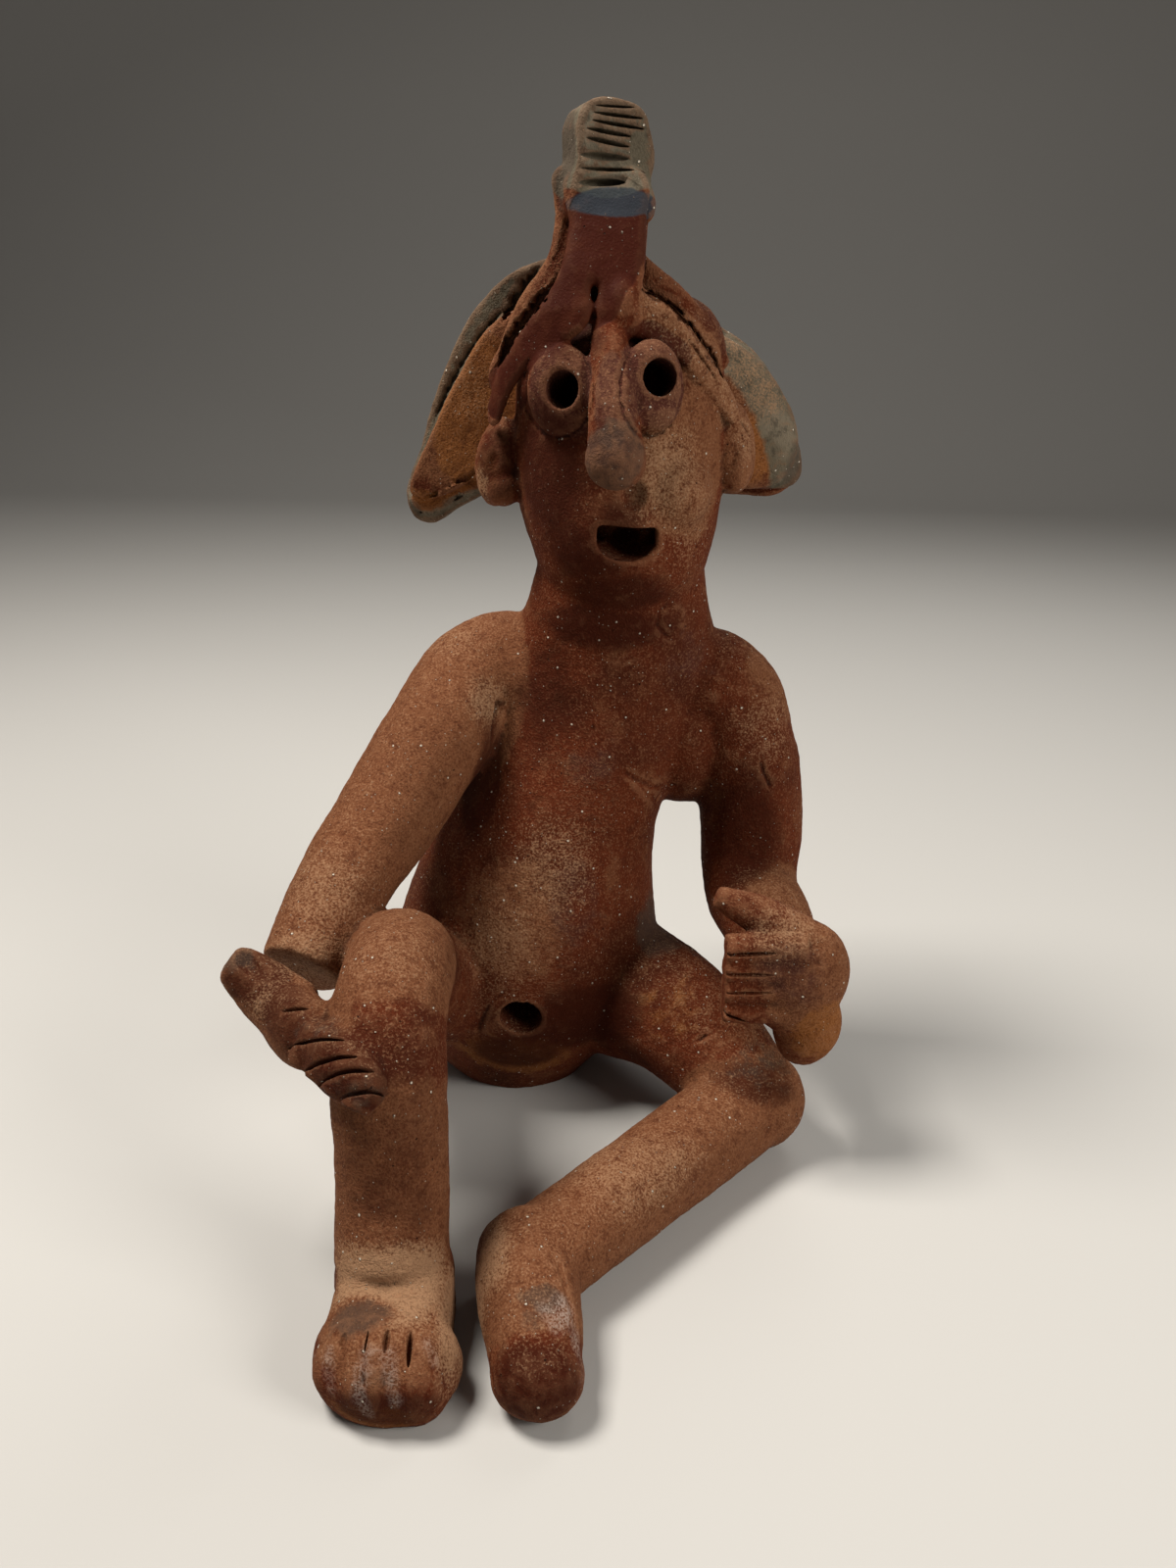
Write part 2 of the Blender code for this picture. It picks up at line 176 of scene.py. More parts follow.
def pellet(name, centre, half, turn=(0, 0, 0)):
    """A pellet of clay, drawn out to these half sizes."""
    bpy.ops.mesh.primitive_uv_sphere_add(segments=48, ring_count=28, radius=1.0)
    return settled(name, centre, half, turn)


def brick(name, centre, half, turn=(0, 0, 0), rounding=1.0):
    """A squared lump with softened edges."""
    bpy.ops.mesh.primitive_cube_add(size=2.0)
    lump = settled(name, centre, half, turn)
    tooled(lump, "softened", "BEVEL", width=rounding * MM, segments=4)
    return lump


def stick(name, centre, half, turn=(0, 0, 0)):
    """The round end of a stick, along its own Z."""
    bpy.ops.mesh.primitive_cylinder_add(vertices=32, radius=1.0, depth=2.0)
    return settled(name, centre, half, turn)


def tooled(thing, name, kind, **settings):
    """Adds a modifier of this kind with these settings and applies it."""
    modifier = thing.modifiers.new(name, kind)
    for setting, value in settings.items():
        setattr(modifier, setting, value)
    bpy.ops.object.modifier_apply(modifier=name)


def made_solid():
    """The curve that is worked on becomes a closed mesh, with its ends welded on."""
    bpy.ops.object.convert(target="MESH")
    bpy.ops.object.mode_set(mode="EDIT")
    bpy.ops.mesh.select_all(action="SELECT")
    bpy.ops.mesh.remove_doubles(threshold=0.001 * MM)
    bpy.ops.mesh.normals_make_consistent(inside=False)
    bpy.ops.object.mode_set(mode="OBJECT")
    bpy.ops.object.transform_apply(location=True, rotation=True, scale=True)
    return bpy.context.object


def threaded(rolled, places, radii):
    """Leads a curve through these places, with these radii."""
    points = rolled.data.splines[0].bezier_points
    points.add(len(places) - len(points))
    for point, place, radius in zip(points, places, radii):
        point.co = metres(place)
        point.radius = radius
        point.handle_left_type = point.handle_right_type = "AUTO"


def coil(name, *stations):
    """A rolled coil of clay through stations of (place, radius)."""
    bpy.ops.curve.primitive_bezier_curve_add()
    rolled = bpy.context.object
    rolled.name = name
    rolled.data.resolution_u = 10
    rolled.data.bevel_depth = MM
    rolled.data.bevel_resolution = 8
    rolled.data.use_fill_caps = True
    threaded(rolled, [place for place, _ in stations], [radius for _, radius in stations])
    return made_solid()


def ribbon(name, flatness, *stations):
    """A flat strip standing on its edge, through stations of (place, half breadth)."""
    bpy.ops.curve.primitive_bezier_circle_add()
    profile = bpy.context.object
    for point in profile.data.splines[0].bezier_points:
        middle = point.co.copy()
        square = (middle - (middle - point.handle_left) * 1.4, middle - (middle - point.handle_right) * 1.4)
        point.handle_left_type = point.handle_right_type = "FREE"
        point.handle_left, point.handle_right = square
        for end in ("co", "handle_left", "handle_right"):
            place = getattr(point, end)
            setattr(point, end, (place.x * flatness, place.y, 0))
    bpy.ops.curve.primitive_bezier_curve_add()
    rolled = bpy.context.object
    rolled.name = name
    rolled.data.resolution_u = 12
    rolled.data.twist_mode = "Z_UP"
    rolled.data.bevel_mode = "OBJECT"
    rolled.data.bevel_object = profile
    rolled.data.use_fill_caps = True
    threaded(rolled, [place for place, _ in stations], [half_breadth * MM for _, half_breadth in stations])
    strip = made_solid()
    bpy.data.objects.remove(profile)
    return strip


def slab(name, outline, middle_y, thickness, sweep=0.0, rounding=0.5):
    """An upright sheet of clay with an outline of (x, z), swept back by so many degrees from the head."""
    bpy.ops.curve.primitive_bezier_circle_add()
    rolled = bpy.context.object
    rolled.name = name
    rolled.data.dimensions = "2D"
    rolled.data.fill_mode = "BOTH"
    rolled.data.resolution_u = 8
    rolled.data.extrude = (thickness / 2 - rounding) * MM
    rolled.data.bevel_depth = rounding * MM
    rolled.data.bevel_resolution = 3
    rolled.data.offset = -rounding * MM
    threaded(rolled, [(x - HEAD[0], z, 0) for x, z in outline], [1.0] * len(outline))
    rolled.rotation_euler = (math.pi / 2, 0, math.radians(sweep))
    rolled.location = metres((HEAD[0], middle_y, 0))
    return made_solid()


def draped(name, outline, front_y, thickness, rounding=0.8):
    """A sheet with an outline of (x, z), laid over the brow so that it follows it round to the ears."""
    sheet = slab(name, outline, front_y + thickness / 2, thickness, 0, rounding)
    tooled(sheet, "even", "REMESH", mode="VOXEL", voxel_size=0.5 * MM)
    places = places_of(sheet)
    x, z = places[:, 0], places[:, 2]
    places[:, 1] += 0.029 * np.clip(12 - x, 0, None) ** 2 + 0.030 * np.clip(x - 20, 0, None) ** 2
    places[:, 1] += 0.30 * np.clip(z - 165, 0, None) - 0.05 * np.clip(165 - z, 0, 8)
    put_back(sheet, places)
    return sheet


def drawn_up(name, sections):
    """A lump drawn up through level ovals of (height, centre x, centre y, half breadth, half depth)."""
    height, x, y, breadth, depth = sections[0]
    bpy.ops.mesh.primitive_circle_add(
        vertices=40, radius=1.0, fill_type="NGON", location=metres((x, y, height))
    )
    lump = bpy.context.object
    lump.name = name
    bpy.ops.object.mode_set(mode="EDIT")
    bpy.ops.mesh.select_all(action="SELECT")
    bpy.ops.transform.resize(
        value=(breadth * MM, depth * MM, 1), center_override=metres((x, y, height))
    )
    for lower, upper in zip(sections, sections[1:]):
        step = metres((upper[1] - lower[1], upper[2] - lower[2], upper[0] - lower[0]))
        bpy.ops.mesh.extrude_region_move(TRANSFORM_OT_translate={"value": step})
        bpy.ops.transform.resize(
            value=(upper[3] / lower[3], upper[4] / lower[4], 1),
            center_override=metres((upper[1], upper[2], upper[0])),
        )
    bpy.ops.mesh.select_all(action="SELECT")
    bpy.ops.mesh.normals_make_consistent(inside=False)
    bpy.ops.object.mode_set(mode="OBJECT")
    bpy.ops.object.transform_apply(location=True, rotation=True, scale=True)
    tooled(lump, "rounded", "SUBSURF", levels=2, render_levels=2)
    return lump


def slit(name, start, end, facing, half_thickness, depth):
    """A knife, pointed at both ends, pressed in from start to end where the clay faces this way."""
    run = Vector(end) - Vector(start)
    along = run.normalized()
    across = along.cross(Vector(facing)).normalized()
    inward = across.cross(along)
    turn = Matrix((along, inward, across)).transposed().to_euler()
    half = (run.length / 2 + 0.5, depth, half_thickness)
    return pellet(name, between(start, end, 0.5), half, [math.degrees(angle) for angle in turn])


def crack(name, places, radius, seed):
    """A ragged tear along these places: a thin coil of uneven thickness, to be taken away."""
    stations = []
    for start, end in zip(places, places[1:]):
        for part in range(3):
            place = between(start, end, part / 3)
            stir = noise.noise_vector(Vector(place) * 0.9 + Vector((seed, 0, 0)))
            size = radius * (1 + 0.75 * noise.noise(Vector(place) * 0.7 + Vector((0, seed, 0))))
            stations.append((tuple(Vector(place) + stir * 0.45), max(size, 0.2)))
    stations.append((places[-1], 0.2))
    return coil(name, *stations)


# The lumps that the figure is built from.


def torso():
    """The pear-shaped trunk, leaning to the figure's left, with its flat seat and sloping shoulders."""
    seat, belly, chest, neck = (
        SEAT_HALF_BREADTH, BELLY_HALF_BREADTH, CHEST_HALF_BREADTH, NECK_HALF_BREADTH
    )
    return [
        drawn_up("trunk", [
            (-8, -3, 1, seat - 5, 13),
            (0, -3.5, 0, seat + 0.4, 16.4),
            (5, -3.5, -1, seat + 5, 19),
            (13, -2.5, -2.5, belly - 3.9, 22.6),
            (22, -2, -3.5, belly + 0.5, 25),
            (32, -1.5, -3.5, belly + 1, 25.4),
            (44, -0.5, -3, belly - 1.2, 24.8),
            (56, 1.5, -1.5, belly - 4.3, 22.2),
            (68, 5, 0, chest, 19.6),
            (80, 10, 1.5, chest - 0.6, 17.5),
            (91, 14, 2, chest, 16.5),
            (101, 17, 1.5, chest - 1.8, 16),
            (109, 17.7, 0, neck + 0.8, 16.5),
            (122, 18, -1, neck - 1, 16),
            (128, 18, -1, neck - 2, 15),
        ]),
        pellet("buttocks", (-1, 5, 17), (27, 18, 17.5)),
        pellet("right_chest", (-1, 2, 91), (18, 12.5, 13), (0, 35, 0)),
        pellet("left_chest", (31, 4, 82), (15, 12, 19), (0, -14, 0)),
        pellet("back_of_neck", (17, 6, 112), (15, 10, 16)),
    ]


def skull():
    """The head, long and blunt, with its jaw run into the neck."""
    x, y, _ = HEAD
    half = HEAD_HALF_BREADTH
    return [
        drawn_up("skull", [
            (102, x + 1, y + 1, half - 10, 10),
            (108, x + 1, y + 1, half - 7, 13.4),
            (113, x + 1, y, half - 4.9, 16.4),
            (119, x + 1, y - 0.8, half - 2.8, 19),
            (126, x + 0.5, y - 0.5, half - 1, 20.4),
            (134, x, y, half + 0.5, 20.8),
            (146, x, y, half + 0.2, 20.6),
            (152, x, y + 0.6, half, 19.4),
            (157, x, y + 1.4, half - 1, 17.6),
            (163, x, y + 2.4, half - 4, 15.0),
            (169, x, y + 6, half - 8, 10.6),
        ]),
        pellet("back_of_head", (x, y + 9, 148), (19, 13.5, 25)),
        pellet("left_cheek", (x + 10, y - 12.5, 133.5), (7.5, 8, 8)),
        pellet("forehead", (x - 2, y - 7.6, 156), (13, 9.6, 8)),
    ]


def brow():
    """What lies under the sheet over the brow."""
    x, y, z = HEAD
    return [
        drawn_up("stalk", [
            (162, x - 4.4, y - 7.0, 7.6, 6.0),
            (168, x - 4.4, y - 7.0, 7.6, 6.4),
            (174, x - 3.4, y - 6.4, 7.3, 6.2),
            (182, x - 2.8, y - 6, 6.9, 6.1),
            (187, x - 2.8, y - 6, 6.4, 5.6),
        ]),
        pellet("crown", (x - 3, y + 4, z + 21), (12.5, 10, 11), (0, 0, 16)),
        pellet("right_brow", (x - 12, y - 3, z + 15), (9, 11, 9), (0, -30, 20)),
        pellet("left_brow", (x + 10, y - 3, z + 16), (10, 11, 9), (0, 34, -14)),
    ]


def arms():
    """Two thick coils from shoulder to wrist."""
    return [
        coil("right_arm",
             (moved(RIGHT_SHOULDER, x=10), ARM_RADIUS - 1),
             (RIGHT_SHOULDER, ARM_RADIUS - 0.3),
             (moved(between(RIGHT_SHOULDER, RIGHT_ELBOW, 0.5), x=-0.5, z=1), ARM_RADIUS),
             (RIGHT_ELBOW, ARM_RADIUS - 0.9),
             (moved(between(RIGHT_ELBOW, RIGHT_WRIST, 0.55), x=-1.2), ARM_RADIUS - 2.4),
             (RIGHT_WRIST, WRIST_RADIUS)),
        coil("left_arm",
             (moved(LEFT_SHOULDER, x=-10, z=-3), ARM_RADIUS - 1),
             (LEFT_SHOULDER, ARM_RADIUS),
             (moved(LEFT_SHOULDER, x=8, z=-16), ARM_RADIUS + 0.4),
             (moved(LEFT_ELBOW, y=6, z=14), ARM_RADIUS),
             (LEFT_ELBOW, ARM_RADIUS - 0.7),
             (between(LEFT_ELBOW, LEFT_WRIST, 0.5), ARM_RADIUS - 1.7),
             (LEFT_WRIST, WRIST_RADIUS)),
    ]


def palms():
    """The two mitten hands without their fingers."""
    x, y, z = RIGHT_WRIST
    left_x, left_y, left_z = LEFT_WRIST
    return [
        pellet("right_palm", (x + 3.2, y - 15.5, z - 1.5), (9.5, 5.4, 7.0), (0, 8, -50)),
        pellet("right_mitten", (x + 13.0, y - 27.0, z - 1.5), (11.0, 4.5, 5.5), (0, 4, -46)),
        coil("right_thumb",
             ((x + 2, y - 13, z - 1), 6.0),
             ((x - 4, y - 9, z + 1.5), 5.4),
             ((x - 8.3, y - 8, z + 4.8), 4.3),
             ((x - 10.3, y - 8, z + 6.2), 3.2)),
        pellet("left_palm", (left_x + 1, left_y - 8, left_z + 1.5), (10.0, 7.5, 12.5), (0, 12, 0)),
        pellet("left_heel", (left_x + 3.8, left_y - 7, left_z - 9.5), (6.8, 6.5, 9.5), (0, 8, 0)),
        coil("left_thumb",
             ((left_x + 2, left_y - 8, left_z + 8.5), 5.5),
             ((left_x - 7, left_y - 7.5, left_z + 14.5), 4.2),
             ((left_x - 16.5, left_y - 7, left_z + 18.5), 2.4)),
    ]


def legs():
    """The right knee is drawn up and the left leg folded flat in front."""
    return [
        coil("right_leg",
             (RIGHT_HIP, THIGH_RADIUS + 2.5),
             (moved(between(RIGHT_HIP, RIGHT_KNEE, 0.5), x=-5, z=2), THIGH_RADIUS - 1),
             (moved(RIGHT_KNEE, x=0.3, y=7, z=0), SHIN_RADIUS),
             (moved(RIGHT_KNEE, x=0.2, y=-4.5, z=-2), SHIN_RADIUS + 0.2),
             (moved(RIGHT_KNEE, x=0.8, y=-11, z=-12), SHIN_RADIUS),
             (between(RIGHT_KNEE, RIGHT_ANKLE, 0.7), SHIN_RADIUS),
             (RIGHT_ANKLE, SHIN_RADIUS)),
        coil("left_thigh",
             (LEFT_HIP, THIGH_RADIUS + 4.5),
             (moved(between(LEFT_HIP, LEFT_KNEE, 0.5), y=1, z=4), THIGH_RADIUS + 1.2),
             (LEFT_KNEE, SHIN_RADIUS + 0.5)),
        pellet("left_kneecap", LEFT_KNEE, (10.3, 10.3, 10.6)),
        coil("left_shin",
             (LEFT_KNEE, SHIN_RADIUS),
             (moved(between(LEFT_KNEE, LEFT_ANKLE, 0.3), y=1.5, z=-1.2), SHIN_RADIUS),
             (between(LEFT_KNEE, LEFT_ANKLE, 0.7), SHIN_RADIUS - 0.7),
             (LEFT_ANKLE, SHIN_RADIUS - 0.7)),
    ]


def feet():
    """The right foot is a broad wedge with toes, the left one a rounded club."""
    return [
        pellet("right_heel", moved(RIGHT_ANKLE, y=1, z=-4), (10.3, 11, 10)),
        brick("right_instep", (-18.8, -92.5, 6.0), (9.9, 12, 9.6), (14, 0, 0), 5.5),
        pellet("right_toes", (-18.3, -99.5, 6.0), (12.0, 9.0, 9.6), (10, 0, 0)),
        pellet("right_toe_corner", (-23.0, -99.0, 6.0), (7.5, 8.0, 8.8), (10, 0, 0)),
        pellet("right_big_toe", (-13.4, -101.0, 6.0), (6.0, 7.6, 8.6), (10, 0, 0)),
        coil("left_foot",
             (moved(LEFT_ANKLE, y=5), SHIN_RADIUS - 0.3),
             (moved(LEFT_ANKLE, x=0.3, y=-6), SHIN_RADIUS - 0.8),
             (moved(LEFT_ANKLE, x=1.6, y=-14, z=-1), SHIN_RADIUS - 1.6),
             (moved(LEFT_ANKLE, x=2.4, y=-20, z=-2.5), SHIN_RADIUS - 2.6)),
        pellet("left_toe", moved(LEFT_ANKLE, x=2.5, y=-20.5, z=-2.5), (7.6, 7.0, 7.2)),
    ]


# What is stuck on afterwards, so that its edges still show.


def face():
    """Flat pellets for eyes, a rolled nose and pinched ears."""
    x, y, z = HEAD
    return [
        pellet("right_eye", (x - 10.9, y - 17.0, z + 8.0), (6.9, 3.7, 8.2), (4, 0, -24)),
        pellet("left_eye", (x + 5.2, y - 19.0, z + 9.2), (5.9, 3.6, 8.2), (4, -4, 10)),
        pellet("under_left_eye", (x + 4.8, y - 20.2, z + 4.8), (4.8, 2.8, 3.2), (0, 0, 8)),
        coil("nose",
             ((x - 2.8, y - 14.0, z + 22), 2.6),
             ((x - 2.7, y - 17.6, z + 17), 3.2),
             ((x - 2.3, y - 20.4, z + 12), 3.6),
             ((x - 1.8, y - 23.5, z + 5), 4.3),
             ((x - 1.2, y - 25.2, z - 2), 5.2)),
        pellet("nose_tip", (x - 1.2, y - 25.5, z - 3), (5.5, 5.0, 5.4)),
        pellet("right_ear", (x - 23.7, y - 1.8, z - 5.8), (4.4, 5.6, 8.6), (0, 8, 25)),
        pellet("right_ear_lobe", (x - 22.6, y - 4.4, z - 10.4), (3.6, 3.8, 3.8)),
        pellet("left_ear", (x + 21.8, y - 2.4, z - 2.4), (4.6, 5.0, 8.9), (0, -8, -30)),
        pellet("left_ear_lobe", (x + 22.0, y - 4.6, z - 5.0), (3.9, 3.2, 5.8), (0, -10, -34)),
    ]


def right_wing():
    """The wing over the right ear: three sheets, each one behind the other hanging a little lower."""
    y = HEAD[1]
    rim = [
        (20, 174), (0, 173.8), (-9, 168.8), (-17.5, 156.6), (-24.5, 138.2), (-27.7, 127.2), (-24.6, 122.9),
        (-16, 126.4), (-3, 134.2), (12, 140),
    ]
    layer = [
        (10, 160), (-8, 156), (-16, 146), (-25.8, 130.2), (-26.8, 127.6), (-24.2, 125.4),
        (-14.6, 129.2), (0, 137.4),
    ]
    front = [
        (12, 169), (-2, 166.2), (-9.6, 161.4), (-15.6, 152.8), (-21.4, 142.2), (-26.4, 131.6),
        (-26.6, 129.4), (-23.6, 128.2), (-11.4, 133.6), (2, 140.6),
    ]
    return [
        slab("right_wing_rim", rim, y + 8.9, 4.6, -9),
        slab("right_wing_layer", layer, y + 6.8, 3.2, -9),
        slab("right_wing_front", front, y + 4.9, 3.6, -9),
    ]


def left_wing():
    """The wing over the left ear, fuller and rounder, with a thin sheet showing under it."""
    x, y, z = HEAD
    rim = [
        (12, 174), (21, 172), (33, 163), (44, 155.4), (50.6, 145), (54.6, 135), (53.4, 131),
        (44, 129.6), (30, 133), (14, 142),
    ]
    front = [
        (12, 175.2), (21, 173.7), (33, 164.8), (44.6, 157.4), (51.2, 146.4), (55.3, 136.4), (54.6, 132.9),
        (50, 131.4), (43, 131.9), (30, 136), (14, 144),
    ]
    return [
        slab("left_wing_rim", rim, y + 10.4, 3.0, 9),
        slab("left_wing_front", front, y + 6.4, 5.4, 9, 1.3),
        pellet("left_wing_swell", (x + 21, y + 6.0, z + 4), (19, 4.2, 11.5), (0, 42, 12)),
    ]


def brow_sheet():
    """The smooth sheet that hangs from the stalk and parts over the brow, and the rougher band under it."""
    smooth = [
        (6.4, 187), (13, 188), (20.0, 187), (20.4, 179), (20.2, 172.6), (19.8, 168), (20.3, 164.2),
        (19.6, 161.4), (17.2, 160.2), (14.6, 160.6), (12.7, 162.2), (11.9, 164.6), (11.55, 169.2),
        (11.1, 164.6), (10.3, 162.2), (8.6, 160.4), (4.8, 158.6), (1.4, 156.4), (-1.2, 153.8),
        (-3.4, 150.8), (-5.0, 147.4), (-6.2, 144.6), (-7.8, 144.0), (-8.6, 146.6), (-7.4, 150.6),
        (-5.8, 154.6), (-4.0, 157.6), (-2.0, 160.8), (1.2, 164.6), (4.0, 168.6), (6.0, 173), (6.8, 179),
    ]
    rough = [
        (14, 171), (18.6, 169), (20.9, 168.0), (23.2, 167.2), (25.4, 166.0), (27.8, 163.8), (29.9, 161.4),
        (32.4, 158.6), (34.5, 155.8), (36.8, 152.2), (39.2, 147.8), (39.6, 145.8), (38.0, 145.6),
        (35.5, 148.4), (32.1, 151.7), (28.5, 155.2), (24.5, 158.2), (20.8, 159.6), (16, 161), (13, 165),
    ]
    x, y, z = HEAD
    return [
        draped("brow_sheet", smooth, -21.4, 3.8, 1.1),
        draped("rough_band", rough, -19.6, 3.6, 1.0),
        pellet("left_lobe_swell", (16.6, y - 17.2, 165.0), (3.4, 2.8, 5.0), (0, -8, 0)),
        ribbon("left_band_fold", 0.5,
               ((x + 0.8, y - 8.0, z + 29.6), 3.0),
               ((x + 5.6, y - 9.6, z + 26.0), 3.0),
               ((x + 10.6, y - 8.8, z + 22.0), 3.0),
               ((x + 15.2, y - 7.0, z + 17.4), 2.6),
               ((x + 19.0, y - 5.0, z + 12.0), 2.0)),
    ]


def crest():
    """The comb on top of the stalk and the torn strip down its side."""
    y = HEAD[1]
    comb = [
        (6.0, 180.2), (6.2, 190), (6.6, 196.4), (8.6, 198.4), (13.6, 198.7), (18.0, 197.2), (19.6, 193.4),
        (20.4, 189.4), (19.9, 186.0), (21.0, 182.6), (19.8, 179.6), (13, 179.0),
    ]
    strip = [
        (4.3, 188.4), (4.2, 181.2), (3.1, 174.9), (1.2, 171.6), (-1.2, 168.6), (-3.6, 164.6), (-5.4, 160),
        (-8.0, 151.6), (-7.0, 150.6), (-4.2, 156.6), (-1.4, 160.8), (2.2, 165.2), (5.4, 170), (7.4, 176),
        (8.4, 182), (8.0, 188.0),
    ]
    return [
        slab("comb", comb, y - 4.7, 12.0, 17, 0.8),
        pellet("comb_lip", (14.3, y - 8.4, CREST_TOP - 15.8), (7.3, 4.9, 4.2), (0, 2, 17)),
        slab("back_strip", strip, y - 4.4, 5.6, 0, 0.5),
        coil("back_strip_edge",
             ((7.8, y - 6.6, 187.2), 0.6),
             ((8.0, y - 7.0, 182), 0.8),
             ((6.6, y - 7.4, 175.4), 0.9),
             ((4.2, y - 7.8, 170.2), 1.1),
             ((1.2, y - 7.8, 166.0), 1.1),
             ((-1.8, y - 7.6, 162.4), 0.9)),
        coil("back_strip_middle",
             ((5.6, y - 7.0, 187.6), 0.5),
             ((5.6, y - 7.2, 180), 0.8),
             ((3.6, y - 7.3, 172.6), 0.9),
             ((-0.4, y - 7.2, 166.6), 0.9),
             ((-4.0, y - 7.0, 160.0), 0.6)),
        brick("strip_root", (8.6, y + 0.6, 176), (4.2, 3.8, 12.0), (0, 8, 16), 1.2),
    ]


def fingers():
    """Rolled fingers of the left hand, and the ridges of the right one."""
    x, y, _ = LEFT_WRIST
    heights = (50.6, 46.1, 41.6, 36.9)
    made = [
        coil(f"left_finger_{row}", ((x + 1, y - 11.5, height), 3.2), ((x - 14.4, y - 12.5, height), 2.8))
        for row, height in enumerate(heights)
    ]
    for row in range(4):
        low = between((-34.4, -78.4, 47.6), (-23.6, -88.2, 46.0), row / 3)
        high = between((-31.4, -76.4, 53.6), (-20.8, -85.2, 50.8), row / 3)
        made.append(coil(f"right_finger_{row}", (low, 2.5), (high, 2.3)))
    return made


def toes():
    """The ends of the right foot's toes, pinched a little apart."""
    return [
        pellet(f"right_toe_{row}", (toe_x, toe_y, toe_z), (half, 3.2, 4.6), (-18, 0, 0))
        for row, (toe_x, toe_y, toe_z, half) in enumerate((
            (-27.0, -102.4, 7.6, 2.7), (-22.6, -104.8, 8.2, 2.5), (-19.0, -105.4, 8.4, 2.1),
            (-15.8, -105.2, 8.2, 2.2), (-11.4, -104.4, 7.6, 3.0),
        ))
    ]


def added_pellets():
    """The disc that the navel was poked in."""
    return [pellet("navel_disc", (-1.0, -24.6, 25.8), (8.2, 4.6, 7.8), (8, 0, 0))]


# What is pressed in or cut away.


def pokes():
    """Holes poked with a stick, and the level that it sits on."""
    x, y, z = HEAD
    return [
        stick("right_eye_hole", (x - 9.4, y - 14.0, z + 7.9), (3.2, 3.3, 9.0), (84, 0, -14)),
        stick("left_eye_hole", (x + 5.8, y - 17.0, z + 10.4), (3.0, 3.15, 9.0), (84, 0, 6)),
        brick("mouth", (x + 1.4, y - 17.0, z - 17.6), (5.7, 8.0, 2.2), (0, 2, 0), 0.9),
        pellet("lower_lip", (x + 1.4, y - 17.0, z - 18.7), (5.4, 10.0, 3.4)),
        pellet("under_nose", (19.6, -22.9, 133.4), (2.6, 2.3, 3.0)),
        pellet("cheek_pit", (26.4, -20.7, 134.6), (0.7, 1.0, 0.8)),
        stick("navel", (-1.2, -24.0, 26.5), (4.5, 4.2, 9.0), (100, 0, 0)),
        pellet("right_ear_hollow", (x - 24.8, y - 8.4, z - 6.0), (1.6, 2.4, 3.8), (0, 22, 25)),
        pellet("right_thumb_cup", (-45.0, -65.2, 58.4), (5.8, 2.0, 1.8), (0, 16, -40)),
        brick("floor_level", (0, -40, -20), (120, 120, 20)),
    ]


def knife_cuts():
    """The slits of the comb and those between fingers and toes."""
    comb = [
        ((11.6, -14.4, 197.2), (17.4, -12.4, 197.3), 0.25),
        ((11.2, -14.4, 196.1), (19.1, -11.7, 195.7), 0.34),
        ((10.7, -14.4, 194.9), (19.3, -11.7, 194.1), 0.36),
        ((10.1, -14.9, 193.6), (17.0, -12.8, 192.9), 0.40),
        ((10.1, -15.1, 192.2), (16.8, -13.2, 191.3), 0.44),
        ((9.2, -15.4, 189.6), (16.8, -13.4, 189.4), 0.62),
        ((9.0, -15.6, 187.6), (19.6, -12.6, 187.3), 0.36),
        ((8.8, -15.8, 185.3), (19.9, -12.7, 185.3), 0.74),
    ]
    left_hand = [
        ((39.0, -43.0, 54.6), (45.2, -41.4, 55.0), 0.75),
        ((38.4, -44.4, 50.4), (48.6, -44.6, 51.0), 0.50),
        ((38.4, -44.6, 46.2), (49.4, -45.0, 46.2), 0.50),
        ((38.8, -44.6, 42.0), (50.8, -45.2, 42.3), 0.45),
        ((38.6, -43.6, 37.6), (43.6, -44.4, 35.6), 0.40),
    ]
    right_hand = [
        ((-36.4, -75.5, 47.9), (-26.6, -82.4, 55.2), 0.48),
        ((-32.3, -81.5, 48.0), (-24.1, -85.7, 54.4), 0.52),
        ((-29.6, -84.2, 47.5), (-21.0, -87.6, 53.4), 0.50),
        ((-27.9, -86.5, 45.6), (-18.7, -89.1, 50.5), 0.46),
        ((-37.8, -73.4, 54.6), (-34.3, -73.7, 55.4), 0.35),
    ]
    right_toes = [
        ((-24.6, -101.6, 15.4), (-24.5, -104.2, 13.4), 0.76),
        ((-20.6, -102.4, 16.0), (-20.8, -104.6, 14.2), 0.22),
        ((-17.6, -102.4, 16.0), (-17.6, -104.6, 14.0), 0.60),
        ((-14.1, -101.8, 15.6), (-13.9, -105.6, 12.2), 0.46),
    ]
    cuts = []
    for part, lines, facing, depth in (
        ("comb", comb, (0.28, -0.96, 0.05), 1.7),
        ("left_hand", left_hand, (-0.1, -1.0, 0.1), 1.7),
        ("right_hand", right_hand, (-0.5, -0.48, 0.72), 2.6),
        ("right_toe", right_toes, (0, -0.72, 0.69), 1.5),
    ):
        cuts += [
            slit(f"{part}_slit_{row}", start, end, facing, thick, depth)
            for row, (start, end, thick) in enumerate(lines)
        ]
    return cuts


